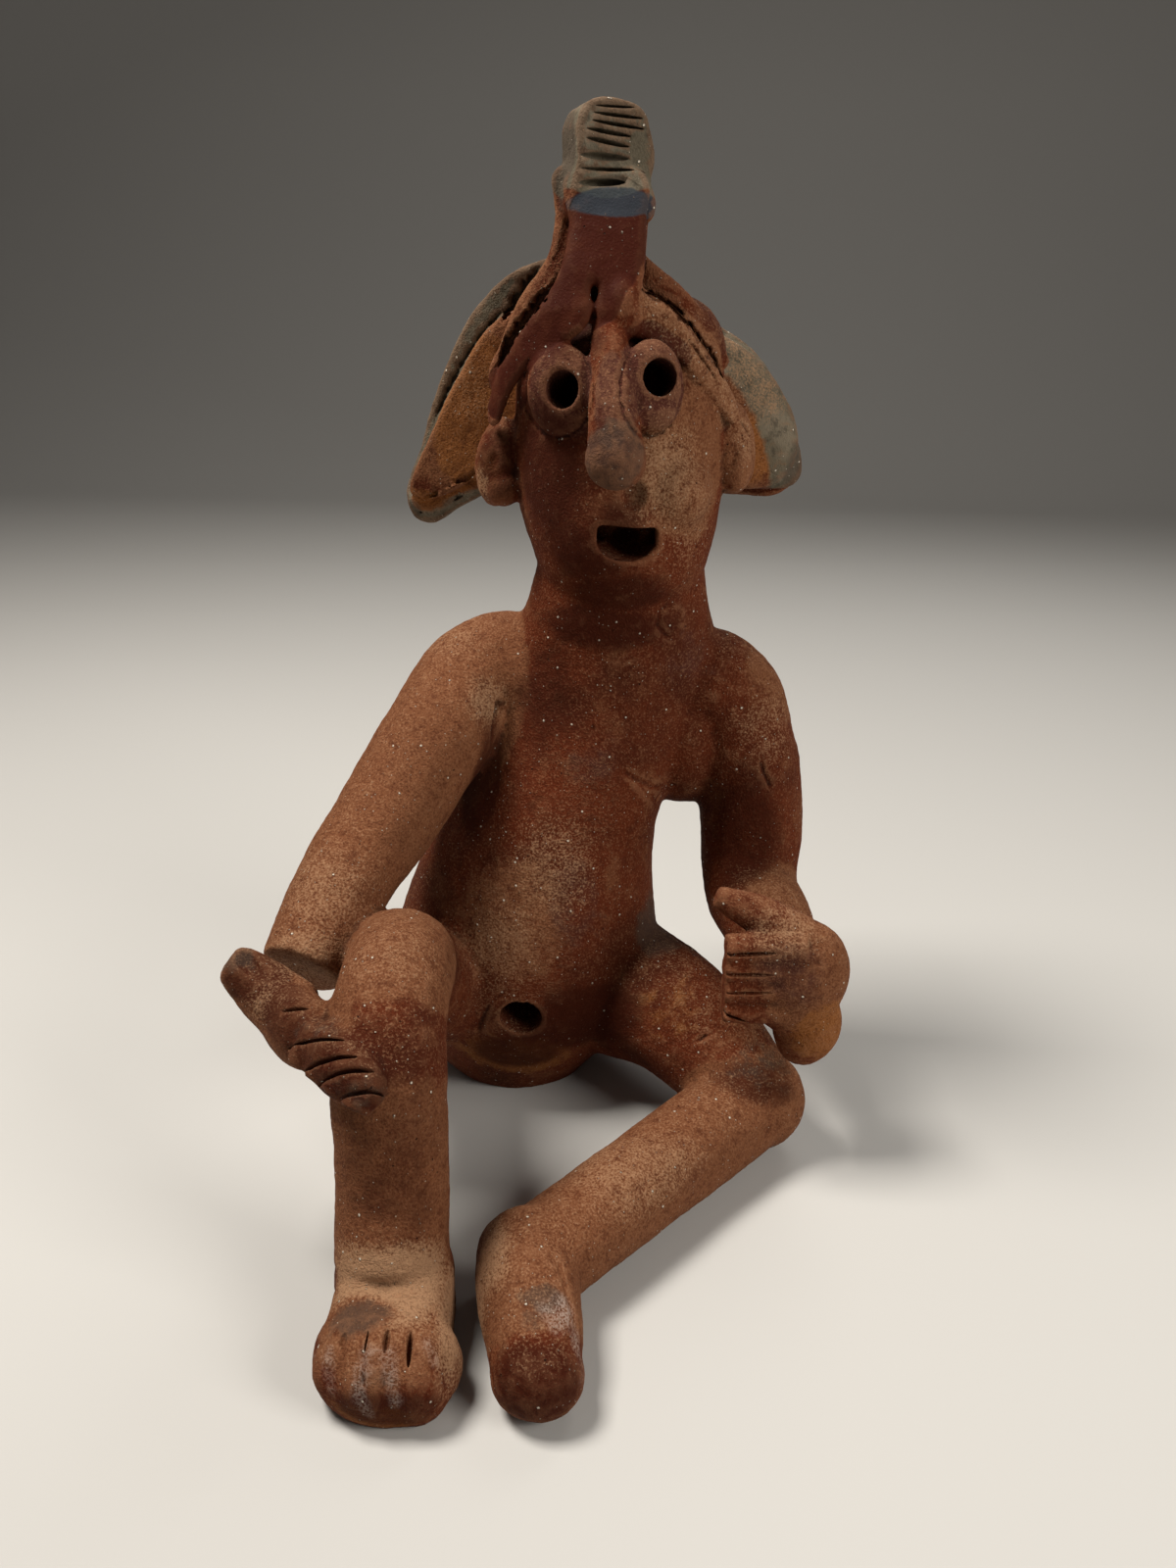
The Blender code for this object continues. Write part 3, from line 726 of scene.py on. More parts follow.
def wing_joints():
    """The gaps between the sheets along the lower edges of the wings."""
    return [
        crack("right_wing_joint",
              [(-26.0, 8.6, 128.6), (-23.6, 8.2, 128.0), (-19.3, 7.4, 130.2), (-15.3, 6.6, 132.2),
               (-12.0, 6.0, 133.9), (-8.0, 5.4, 135.8)], 0.55, 41.0),
        crack("right_wing_second_joint",
              [(-24.6, 11.0, 125.4), (-21.9, 10.4, 126.2), (-18.5, 9.8, 127.8), (-15.0, 9.2, 129.6),
               (-11.6, 8.8, 131.2)], 0.5, 53.0),
        crack("left_wing_joint",
              [(37.0, 6.6, 133.2), (41.7, 7.4, 131.8), (48.0, 8.2, 131.2), (53.8, 9.2, 132.6)], 0.45, 61.0),
    ]


def fused(lumps, grain, smoothing):
    """The lumps pressed into one body and wiped smooth at the joins."""
    body = picked(*lumps)
    bpy.ops.object.join()
    tooled(body, "one skin", "REMESH", mode="VOXEL", voxel_size=grain * MM)
    if smoothing:
        tooled(body, "wiped", "SMOOTH", factor=0.5, iterations=smoothing)
    return body


def taken_away(body, marks):
    """Takes all these marks out of the body."""
    holder = bpy.data.collections.new("marks")
    bpy.context.scene.collection.children.link(holder)
    for mark in marks:
        for other in list(mark.users_collection):
            other.objects.unlink(mark)
        holder.objects.link(mark)
    picked(body)
    tooled(body, "cut", "BOOLEAN", operation="DIFFERENCE", operand_type="COLLECTION",
           collection=holder, solver="MANIFOLD")
    for mark in marks:
        bpy.data.objects.remove(mark)
    bpy.data.collections.remove(holder)


def flaps_trimmed(body):
    """Takes off stray single faces that stand on the surface, so that the skin stays closed."""
    picked(body)
    bpy.ops.object.mode_set(mode="EDIT")
    bpy.ops.mesh.select_mode(type="VERT")
    bpy.ops.mesh.select_all(action="DESELECT")
    bpy.ops.mesh.select_non_manifold(extend=False, use_wire=False, use_boundary=True, use_multi_face=False,
                                     use_non_contiguous=False, use_verts=False)
    bpy.ops.mesh.delete(type="ONLY_FACE")
    bpy.ops.mesh.select_all(action="SELECT")
    bpy.ops.mesh.delete_loose()
    bpy.ops.object.mode_set(mode="OBJECT")


# Working the surface.


def places_of(body):
    """The body's points in millimetres."""
    flat = np.empty(len(body.data.vertices) * 3, np.float32)
    body.data.vertices.foreach_get("co", flat)
    return flat.reshape(-1, 3).astype(float) / MM


def facings_of(body):
    """Which way the skin faces at each of the body's points."""
    flat = np.empty(len(body.data.vertices) * 3, np.float32)
    body.data.vertex_normals.foreach_get("vector", flat)
    return flat.reshape(-1, 3).astype(float)


def put_back(body, places):
    """Moves the body's points to these places, in millimetres."""
    body.data.vertices.foreach_set("co", (places * MM).astype(np.float32).ravel())
    body.data.update()


def distance_to_line(places, line):
    """How far each place is from a line of places, and how far along it the nearest point lies, 0 to 1."""
    nearest = np.full(len(places), 1e9)
    along = np.zeros(len(places))
    line = np.array(line, float)
    for index, (start, end) in enumerate(zip(line, line[1:])):
        run = end - start
        share = np.clip((places - start) @ run / max(run @ run, 1e-9), 0, 1)
        gap = np.linalg.norm(places - start - share[:, None] * run, axis=1)
        closer = gap < nearest
        nearest[closer] = gap[closer]
        along[closer] = (index + share[closer]) / (len(line) - 1)
    return nearest, along


def scored(places, facings, line, width, depth):
    """Presses a line of this half width into the clay, fading at its ends. A negative depth raises it."""
    low = np.min(line, axis=0) - width - 0.5
    high = np.max(line, axis=0) + width + 0.5
    close = np.nonzero(((places > low) & (places < high)).all(axis=1))[0]
    if len(close) == 0:
        return
    gap, along = distance_to_line(places[close], line)
    profile = np.clip(1 - (gap / width) ** 2, 0, 1) ** 1.5
    fade = np.clip(np.minimum(along, 1 - along) * 6, 0.15, 1)
    places[close] -= facings[close] * (depth * profile * fade)[:, None]


def torn(places, facings, line, width, depth, seed):
    """Tears the front of the headdress open along a line of (x, z), with ragged sides."""
    flat = places[:, (0, 2)]
    low, high = np.min(line, axis=0) - width * 2, np.max(line, axis=0) + width * 2
    close = ((flat > low) & (flat < high)).all(axis=1) & (facings[:, 1] < -0.12) & (places[:, 1] < 13)
    close = np.nonzero(close)[0]
    gap, along = distance_to_line(flat[close], line)
    shift = Vector((seed, 0, seed))
    ragged = np.array([noise.noise(Vector(place) * 0.95 + shift) for place in places[close]])
    fade = np.clip(np.minimum(along, 1 - along) * 5, 0.1, 1)
    reach = width * fade * (1 + 0.9 * ragged)
    places[close, 1] += depth * np.clip((reach - gap) / 0.28, 0, 1) * np.clip(fade * 2, 0, 1)


def around(x, z, half_x, half_z):
    """A ring of (x, z) places, from the top round to the top."""
    turns = [math.radians(angle) for angle in range(20, 341, 20)]
    return [(x + half_x * math.sin(turn), z + half_z * math.cos(turn)) for turn in turns]


def tears():
    """Ragged tears at the edges of the headdress's sheets: line of (x, z), half width, depth, seed."""
    return [
        ([(4.4, 169.8), (2.6, 167.4), (0.6, 165.2), (-1.6, 162.8), (-3.4, 160.2), (-5.0, 157.4),
          (-6.6, 153.8)], 0.95, 2.2, 3.0),
        ([(0.8, 173.2), (-1.2, 170.4), (-3.2, 167.6), (-5.4, 164.8), (-6.8, 162.4)], 0.85, 2.0, 9.0),
        ([(-4.6, 166.0), (-7.0, 164.6), (-9.0, 162.6), (-11.0, 160.4), (-13.0, 157.8), (-15.2, 154.6),
          (-17.6, 150.4), (-20.2, 145.4), (-22.6, 140.4)], 0.42, 0.9, 17.0),
        ([(18.9, 168.6), (20.9, 167.8), (23.2, 166.9), (25.4, 165.6), (27.8, 163.4), (30.0, 161.0),
          (32.4, 158.2), (34.6, 155.3), (36.4, 152.4)], 0.75, 2.0, 29.0),
        ([(27.6, 161.0), (30.0, 158.4), (32.6, 155.4), (34.6, 152.8)], 0.32, 0.8, 37.0),
        (around(5.2, 151.2, 6.7, 8.2), 0.42, 0.5, 43.0),
        (around(21.9, 152.0, 5.7, 8.4), 0.42, 0.5, 47.0),
    ]


def creases():
    """Fine lines left by joining and handling: the places they run through, half width and depth."""
    return [
        ([(27.9, -14.1, 111.5), (25.9, -14.9, 110.5), (25.2, -14.6, 107.5), (26.6, -13.6, 105.3),
          (28.3, -12.7, 104.5)], 0.8, 0.40),
        ([(28.4, -13.6, 112.4), (30.2, -12.2, 109.5), (30.0, -12.0, 105.5)], 1.4, -0.35),
        ([(-5.6, -11.0, 91.0), (-6.6, -12.0, 88.6), (-8.0, -13.6, 85.4), (-9.8, -14.4, 81.4)], 1.9, 1.5),
        ([(48.1, -8.1, 77.6), (49.7, -8.2, 73.6), (51.2, -8.2, 70.9)], 0.7, 0.55),
        ([(26.4, -9.5, 67.6), (28.4, -7.0, 69.6), (31.0, -5.2, 70.2)], 0.8, 0.7),
        ([(18.4, -15.2, 77.4), (21.6, -13.9, 74.8), (25.2, -11.6, 72.4), (28.6, -7.4, 70.2)], 1.0, 0.40),
        ([(20.4, -15.2, 74.0), (24.6, -12.6, 69.4), (27.4, -9.0, 64.6)], 1.6, -0.35),
        ([(38.2, -10.0, 147.4), (40.5, -7.8, 145.6), (42.3, -6.6, 142.6), (42.4, -7.0, 139.2),
          (41.0, -8.1, 136.0), (38.0, -8.0, 133.6)], 0.6, 0.65),
        ([(37.6, -10.6, 144.0), (39.0, -9.8, 140.0), (38.2, -10.0, 137.0)], 0.9, 0.35),
        ([(-10.6, -24.6, 17.4), (-10.0, -26.6, 23.0), (-8.0, -28.4, 29.0), (-3.6, -29.0, 33.0)], 0.9, 0.45),
        ([(-27.6, -92.0, 19.6), (-22.0, -96.4, 20.6), (-16.0, -96.6, 20.2), (-11.2, -93.4, 19.4)],
         1.3, 0.6),
        ([(-14.0, -105.4, 12.6), (-13.6, -107.2, 9.4), (-13.4, -107.6, 6.6)], 0.7, 0.6),
        ([(-17.6, -105.6, 12.6), (-17.4, -107.6, 9.6)], 0.6, 0.35),
        ([(-24.4, -104.2, 13.4), (-24.4, -105.6, 12.4), (-24.2, -107.2, 9.8)], 0.8, 0.45),
        ([(-20.8, -104.6, 14.2), (-20.8, -106.4, 12.0), (-20.8, -107.6, 9.6)], 0.7, 0.35),
        ([(35.6, -33.6, 24.2), (37.4, -33.0, 25.4), (39.4, -32.6, 25.9)], 0.5, 0.6),
        ([(4.0, -88.0, 17.0), (8.4, -88.0, 16.2), (10.4, -94.0, 13.6), (12.0, -99.0, 10.6)], 0.9, 0.35),
        ([(-2.0, -96.0, 14.0), (-2.8, -101.0, 10.0), (-1.0, -105.0, 6.0)], 0.9, 0.45),
        ([(54.0, -44.4, 52.0), (58.0, -42.6, 47.0)], 0.5, 0.3),
        ([(46.0, -45.2, 49.0), (50.4, -45.6, 49.2)], 0.4, 0.25),
        ([(30.8, -12.0, 56.0), (30.4, -16.0, 50.0)], 0.7, 0.3),
        ([(-12.8, -20.5, 99.0), (-6.8, -13.0, 96.2), (-4.6, -10.0, 93.0)], 1.2, -0.25),
        ([(5.2, -14.0, 104.4), (12.0, -15.8, 101.0), (20.0, -15.4, 101.6), (27.0, -13.0, 104.0)],
         1.8, 0.35),
    ]


def hand_worked(body):
    """The lumps and hollows that fingers leave, then the sandy grain."""
    for name, size, depth, strength in (
        ("finger hollows", 13.0, 1, 0.85), ("pinches", 4.4, 2, 0.42), ("sandy grain", 1.3, 3, 0.22),
    ):
        pattern = bpy.data.textures.new(name, "CLOUDS")
        pattern.noise_scale = size * MM
        pattern.noise_depth = depth
        pattern.noise_basis = "ORIGINAL_PERLIN"
        tooled(body, name, "DISPLACE", texture=pattern, texture_coords="LOCAL",
               strength=strength * MM, mid_level=0.5)


def rim_softened(value, low, high):
    """0 below low, 1 above high, with an eased rise between."""
    share = np.clip((value - low) / (high - low), 0, 1)
    return share * share * (3 - 2 * share)


def averaged(values, edges, rounds):
    """The values after so many rounds of sharing with the neighbours."""
    count = np.bincount(edges.ravel(), minlength=len(values)).astype(float)
    for _ in range(rounds):
        total = np.zeros_like(values)
        for axis in range(values.shape[1]):
            total[:, axis] = np.bincount(
                edges[:, 0], values[edges[:, 1], axis], len(values)
            ) + np.bincount(edges[:, 1], values[edges[:, 0], axis], len(values))
        values = 0.5 * values + 0.5 * total / count[:, None]
    return values


def hollows_and_edges(body):
    """How far each point stands proud of the clay around it, in millimetres, seen close and wide."""
    edges = np.empty(len(body.data.edges) * 2, np.int32)
    body.data.edges.foreach_get("vertices", edges)
    edges = edges.reshape(-1, 2)
    places = places_of(body)
    facings = facings_of(body)
    close = averaged(places, edges, 10)
    wide = averaged(close, edges, 50)
    return ((places - close) * facings).sum(axis=1), ((places - wide) * facings).sum(axis=1)


# Where the paint, slip, soot and dust lie.


def dab(mask, places, centre, half, amount=1.0, soft=0.45):
    """Lays an oval dab of paint on the mask, with a soft rim."""
    reach = np.linalg.norm((places - np.array(centre)) / np.array(half), axis=1)
    np.maximum(mask, amount * (1 - rim_softened(reach, 1 - soft, 1 + soft)), out=mask)


def brushed(mask, places, line, radius, amount=1.0, soft=0.45):
    """Draws a brush along the line."""
    gap, _ = distance_to_line(places, line)
    reach = gap / radius
    np.maximum(mask, amount * (1 - rim_softened(reach, 1 - soft, 1 + soft)), out=mask)


def spread(places, dabs=(), strokes=()):
    """A mask from dabs of (centre, half sizes, amount, softness) and from strokes of (line, radius,
    amount, softness).
    """
    mask = np.zeros(len(places))
    for one in dabs:
        dab(mask, places, *one)
    for one in strokes:
        brushed(mask, places, *one)
    return mask


def wing_depth(places, front_y, sweep):
    """How far a place lies behind the front of a swept wing."""
    return places[:, 1] - front_y - sweep * np.abs(places[:, 0] - HEAD[0])


def green_paint(places):
    """Faded green: the comb, the rims and the backs of the wings."""
    x, z = places[:, 0], places[:, 2]
    depth = wing_depth(places, 0.2, 0.158)
    right_back = rim_softened(depth, 2.4, 3.6) * (1 - rim_softened(x, 1, 9)) * (z > 121)
    left_back = rim_softened(depth, 6.4, 8.4) * rim_softened(x, 20, 28) * (z > 128)
    fronts = spread(places, dabs=[
        ((13.3, -8.2, 190.4), (12, 12, 9.8), 1.0, 0.12),
    ], strokes=[
        ([(24, 4, 169), (33, 3, 164), (42.5, 4, 158.5), (49, 5, 149.5), (53, 6, 141), (55, 6, 134)],
         7.5, 0.95, 0.5),
        ([(-5, 4, 167), (-13, 5, 161)], 2.4, 0.5, 0.5),
    ])
    return np.maximum.reduce([fronts, 0.9 * right_back, 0.9 * left_back])


def blue_paint(places):
    """The blue-grey lip under the comb."""
    return spread(places, dabs=[((14.6, -13.0, 182.0), (8.6, 6.0, 2.9), 1.0, 0.3)])


def red_slip(places):
    """The smooth dark red of the stalk and of the inner brow."""
    return spread(places, strokes=[
        ([(14.2, -15, 179), (13.4, -15, 173), (11.8, -16, 167)], 7.6, 1.0, 0.16),
        ([(8.6, -17, 167), (5.4, -17, 162.6), (1.6, -16, 159.4), (-2.4, -14, 155.4), (-5.4, -11, 150)],
         4.7, 1.0, 0.3),
        ([(16, -18, 165), (17, -19, 161.6), (22, -19.4, 160.4), (27, -18.4, 157.4)], 2.8, 0.8, 0.4),
    ])


def deep_red_and_painted_shade(places):
    """Deep red clay under painted shade: the shaded cheek, neck, armpit, lower belly, lap and toe ends."""
    return spread(places, dabs=[
        ((3.0, -17, 138), (8.6, 9, 15), 0.85, 0.6), ((-6.8, -8.6, 137), (5.0, 7, 8), 0.75, 0.6),
        ((11, -20, 122), (11, 8, 8), 0.7, 0.6), ((17, -20, 113.6), (13, 9, 6), 0.75, 0.6),
        ((14, -15, 107), (17, 9, 5), 0.8, 0.6), ((2, -14, 93), (10, 8, 15), 0.6, 0.6),
        ((-10.4, -12, 74), (4.8, 7, 20), 1.0, 0.6), ((46, -11, 62), (9, 8, 18), 0.7, 0.6),
        ((10, -25, 24), (15, 8, 10), 0.9, 0.6), ((-2, -26, 15.4), (11, 9, 6), 0.9, 0.6),
        ((6.0, -107, 10), (8, 7, 6.6), 0.95, 0.6), ((-16, -109, 5.4), (14, 4, 4.4), 0.8, 0.6),
        ((-44.6, -66, 57), (7, 6, 5), 1.0, 0.6), ((17.4, -25, 128.6), (5, 6, 5.4), 0.7, 0.6),
        ((24, -24, 14), (13, 10, 7), 0.6, 0.6), ((6, -24, 160), (9, 6, 4), 0.8, 0.6),
        ((47, -40, 19), (10, 6, 6), 0.7, 0.6),
    ], strokes=[
        ([(-18, -82, 42), (-18, -90, 24)], 13, 0.5, 0.9),
        ([(-45, -66, 58), (-34, -77, 52), (-22, -88, 50)], 6.4, 0.72, 0.6),
    ])


def brown_clay_and_painted_light(places):
    """A lighter brown, partly clay fired lighter and partly painted light: the limbs and the lit side of
    the head.
    """
    return spread(places, dabs=[
        ((28, -16, 138), (12, 10, 14), 0.9, 0.5), ((40, -3, 140), (7, 8, 12), 0.8, 0.4),
        ((-4, -26, 48), (16, 9, 18), 0.6, 0.6), ((14, -26, 148), (6, 8, 12), 0.5, 0.6),
        ((-14, 6, 148), (14, 8, 22), 0.8, 0.4), ((40, 6, 148), (16, 9, 20), 0.8, 0.4),
        ((8, 20, 60), (26, 9, 50), 0.5, 0.6),
    ], strokes=[
        ([RIGHT_SHOULDER, RIGHT_ELBOW, RIGHT_WRIST, (-36, -72, 50)], 14, 1.0, 0.3),
        ([moved(LEFT_SHOULDER, x=8), moved(LEFT_SHOULDER, x=9, z=-14)], 10, 0.8, 0.4),
        ([(57, -18, 46), (58, -40, 44)], 13, 0.8, 0.4),
        ([moved(RIGHT_KNEE, y=8, z=4), moved(RIGHT_KNEE, z=2)], 12, 1.0, 0.4),
        ([(-21, -80, 38), (-19, -88, 20), (-18, -98, 15)], 12, 0.9, 0.5),
        ([LEFT_KNEE, LEFT_ANKLE, (3, -89, 12)], 12, 1.0, 0.35),
        ([(17, -8, 26), (42, -28, 20)], 12, 0.5, 0.5),
        ([(22, -17, 165), (30, -15, 158), (37, -10, 149)], 5, 0.9, 0.3),
        ([(6.4, -5, 186), (5, -5, 174), (0, -6, 165), (-6, -5, 154)], 4.2, 0.9, 0.3),
    ])


def orange_clay(places):
    """Where the clay fired to a warmer orange."""
    return spread(places, dabs=[
        ((-13, 4, 145), (12, 4.6, 17), 0.95, 0.4), ((45, 2, 140), (10, 6, 9), 0.7, 0.6),
        ((-24, 8, 127), (5, 6, 4), 0.7, 0.5), ((31, -22, 27), (9, 16, 8), 0.5, 0.7),
        ((-2, -24, 14), (16, 10, 8), 0.6, 0.5), ((58.6, -38, 33), (6, 9, 9), 0.8, 0.5),
        ((-18, -104, 4), (10, 8, 4), 0.7, 0.5), ((-7, -6, 135), (5, 5, 8), 0.55, 0.6),
        ((17, -21, 124), (12, 5, 6), 0.3, 0.8), ((18, -19, 114), (9, 6, 5), 0.3, 0.8),
        ((4, 22, 40), (16, 6, 22), 0.35, 0.6),
    ], strokes=[
        ([(-25, 11, 126.5), (-12, 9, 133)], 2.2, 0.9, 0.4),
        ([(38, 8, 132), (53, 10, 132.6)], 1.5, 0.9, 0.4),
    ])


def plum_clay_and_painted_shade(places):
    """A colder, purplish brown: partly clay fired so, partly painted shade on the nose under the brow and
    on the left shin.
    """
    return spread(places, dabs=[
        ((14, -17, 79), (10, 6, 9), 0.5, 0.9), ((33, -10, 99), (12, 9, 10), 0.5, 0.9),
        ((22.8, -23, 153.6), (7.6, 5, 8.6), 1.0, 0.3), ((6.4, -21, 151), (7.4, 5, 8.4), 0.9, 0.3),
        ((15, -29, 151), (3.6, 6, 11), 0.85, 0.5), ((31, -58, 12), (16, 12, 8), 0.4, 0.9),
        ((52, -42, 46), (9, 8, 10), 0.55, 0.6), ((10, -25, 52), (8, 8, 14), 0.5, 0.6),
        ((16, -28, 150), (5, 6, 9), 0.6, 0.5),
    ], strokes=[
        ([(19, -18, 170), (26, -17, 166), (33, -13, 158)], 2.6, 0.4, 0.4),
    ])


def kiln_soot_and_painted_shade(places):
    """Grey to black smoke marks from the firing, with painted shade on the side of the comb and in the
    right thumb's cup.
    """
    return spread(places, dabs=[
        ((15.2, -30, 140.4), (5.8, 7, 6.4), 0.9, 0.7), ((-49, -62, 58.4), (4.4, 4.4, 3.2), 0.75, 0.7),
        ((-31, -77, 54), (8, 6, 4.2), 0.5, 0.8), ((-22, -87, 49), (8, 6, 6), 0.45, 0.8),
        ((-23.4, -98.8, 15.4), (6.6, 4.0, 4.4), 0.75, 0.8),
        ((6.0, -95.4, 16), (4.6, 3.4, 3), 0.62, 0.8), ((4.6, -98.6, 14.6), (2.6, 3.0, 3), 0.5, 0.6),
        ((48, -36, 21), (10, 8, 5.4), 0.5, 0.8), ((28, -12, 40), (7, 9, 9), 0.7, 0.7),
        ((16, -25, 44), (6, 7, 15), 0.35, 0.9), ((-27, 8, 125), (3.4, 5, 3), 0.8, 0.5),
        ((54.6, 7, 135), (4.4, 7, 7), 0.7, 0.7), ((45, -44, 40), (8, 4, 5), 0.35, 0.7),
        ((-18, -107, 10), (9, 4, 4), 0.35, 0.7), ((6.2, -8.6, 190), (2.8, 7, 9), 0.85, 0.5),
        ((20, 21, 150), (14, 7, 16), 0.4, 0.7), ((-2, 23, 12), (20, 6, 9), 0.5, 0.7),
    ], strokes=[
        ([(-5, 6, 168), (-15, 7.6, 160), (-21, 8.6, 149), (-25.6, 9.4, 136)], 1.6, 0.7, 0.6),
    ])


def tan_dust_and_painted_light(places, facings):
    """Pale dust and dried earth with painted light: lighter on what faces up and on the lit cheek, knees
    and instep, and dust in what the hand doesn't reach.
    """
    # Dust, and painted light: lighter on what faces up, and on the lit cheek, knees and instep.
    settled_dust_and_light = 0.28 * rim_softened(facings[:, 2], 0.25, 0.95)
    lodged_dust_and_light = spread(places, dabs=[
        ((-19, -93, 16.6), (11, 9, 5.4), 1.0, 0.5), ((-19, -97, 20), (11, 6, 3.6), 0.9, 0.5),
        ((-8.6, -94, 9), (2.8, 12, 9), 0.8, 0.5), ((-5.4, -92, 9), (2.4, 12, 9), 0.8, 0.5),
        ((-2.6, -85, 14.6), (6, 8, 4), 0.75, 0.5), ((25.0, -21, 137), (7.4, 7, 10), 0.62, 0.9),
        ((30, -16.5, 130), (7, 8, 12), 0.4, 0.8), ((-16, -5, 101), (10, 9, 5), 0.4, 0.7),
        ((-9, -14, 91), (5.4, 6, 5), 0.6, 0.6), ((6, -24, 60), (10, 7, 13), 0.45, 0.6),
        ((-6, -28, 44), (9, 6, 13), 0.5, 0.9), ((-20.4, -68, 62), (10, 12, 5.4), 0.36, 0.8),
        ((-36, -46, 64), (9, 16, 8), 0.5, 0.8), ((-41, -66, 52), (5, 5, 4), 0.8, 0.6),
        ((36, -28, 27), (8, 8, 5), 0.3, 0.7), ((24, -66, 16.6), (20, 13, 5), 0.5, 0.6),
        ((50, -40, 54), (8, 7, 6), 0.5, 0.6), ((50, -6, 84), (9, 8, 9), 0.4, 0.6),
        ((22.6, -19.4, 150.6), (3.4, 3, 1.6), 0.95, 0.4),
        ((6.0, -17.4, 148.4), (3.4, 3, 1.4), 0.6, 0.4), ((40.4, -6.4, 141), (3, 4, 7), 0.5, 0.5),
        ((-9.4, -5.8, 133), (2.6, 3, 4), 0.6, 0.5), ((-13, 3, 150), (7, 4, 10), 0.45, 0.7),
        ((-38, -57, 54), (8, 9, 8), 0.62, 0.8),
    ], strokes=[
        ([(6.2, -4.4, 187), (5.8, -4.8, 178), (1.4, -5, 170), (-3.8, -5, 161)], 2.6, 0.65, 0.5),
        ([(24, 2, 166), (38, 2, 157), (46, 3, 149)], 4.4, 0.5, 0.7),
        ([(23, -19, 164.6), (29, -16, 159), (35, -12, 152), (38, -9, 147)], 3.8, 0.42, 0.8),
    ])
    bare = spread(places, dabs=[
        ((-23.4, -98.8, 15.4), (6.4, 3.6, 4.4), 0.95, 0.4), ((16, -30, 141), (6, 8, 6), 1.0, 0.4),
    ])
    return np.maximum(settled_dust_and_light, lodged_dust_and_light) * (1 - bare)


def pale_scuffs(places):
    """Whitish rubs over the toes."""
    lines = [
        [(11.4, -98, 12), (12.6, -103, 8)], [(6.4, -97, 16), (8.6, -99.4, 14)],
        [(-27, -104, 13), (-26.4, -107, 8)], [(-20.6, -105, 14), (-21.4, -108, 8), (-20, -108.6, 5.4)],
        [(-17, -105, 13.6), (-15.6, -108, 8)], [(-11, -103, 14), (-9.6, -104.6, 12)],
    ]
    toe_top = ((9.8, -96.6, 14.4), (3.0, 3.6, 2.6), 0.6, 0.8)
    return spread(places, dabs=[toe_top], strokes=[(line, 1.7, 0.46, 0.9) for line in lines])


def scraped_clay(places):
    """Where the clay was scraped and shows short pale drags."""
    return spread(places, dabs=[
        ((-5, -27, 46), (15, 9, 22), 1.0, 0.5), ((14, -20, 72), (12, 8, 16), 0.6, 0.6),
        ((-20, -68, 58), (10, 12, 8), 0.5, 0.6), ((4, -10, 170), (5, 5, 9), 0.8, 0.5),
        ((30, -24, 30), (9, 12, 9), 0.5, 0.5), ((-19, -94, 16), (11, 9, 6), 0.6, 0.5),
        ((4, 20, 70), (22, 8, 40), 0.6, 0.6),
    ])


def marked(body, name, values):
    """Keeps a value for each point of the body under this name."""
    layer = body.data.attributes.get(name) or body.data.attributes.new(name, "FLOAT", "POINT")
    layer.data.foreach_set("value", np.asarray(values, np.float32))


def nearest_of(fine_places, places):
    """The nearest fine point to each place."""
    tree = kdtree.KDTree(len(fine_places))
    for index, place in enumerate(fine_places):
        tree.insert(place, index)
    tree.balance()
    return np.array([tree.find(place)[1] for place in places])


# The finish.


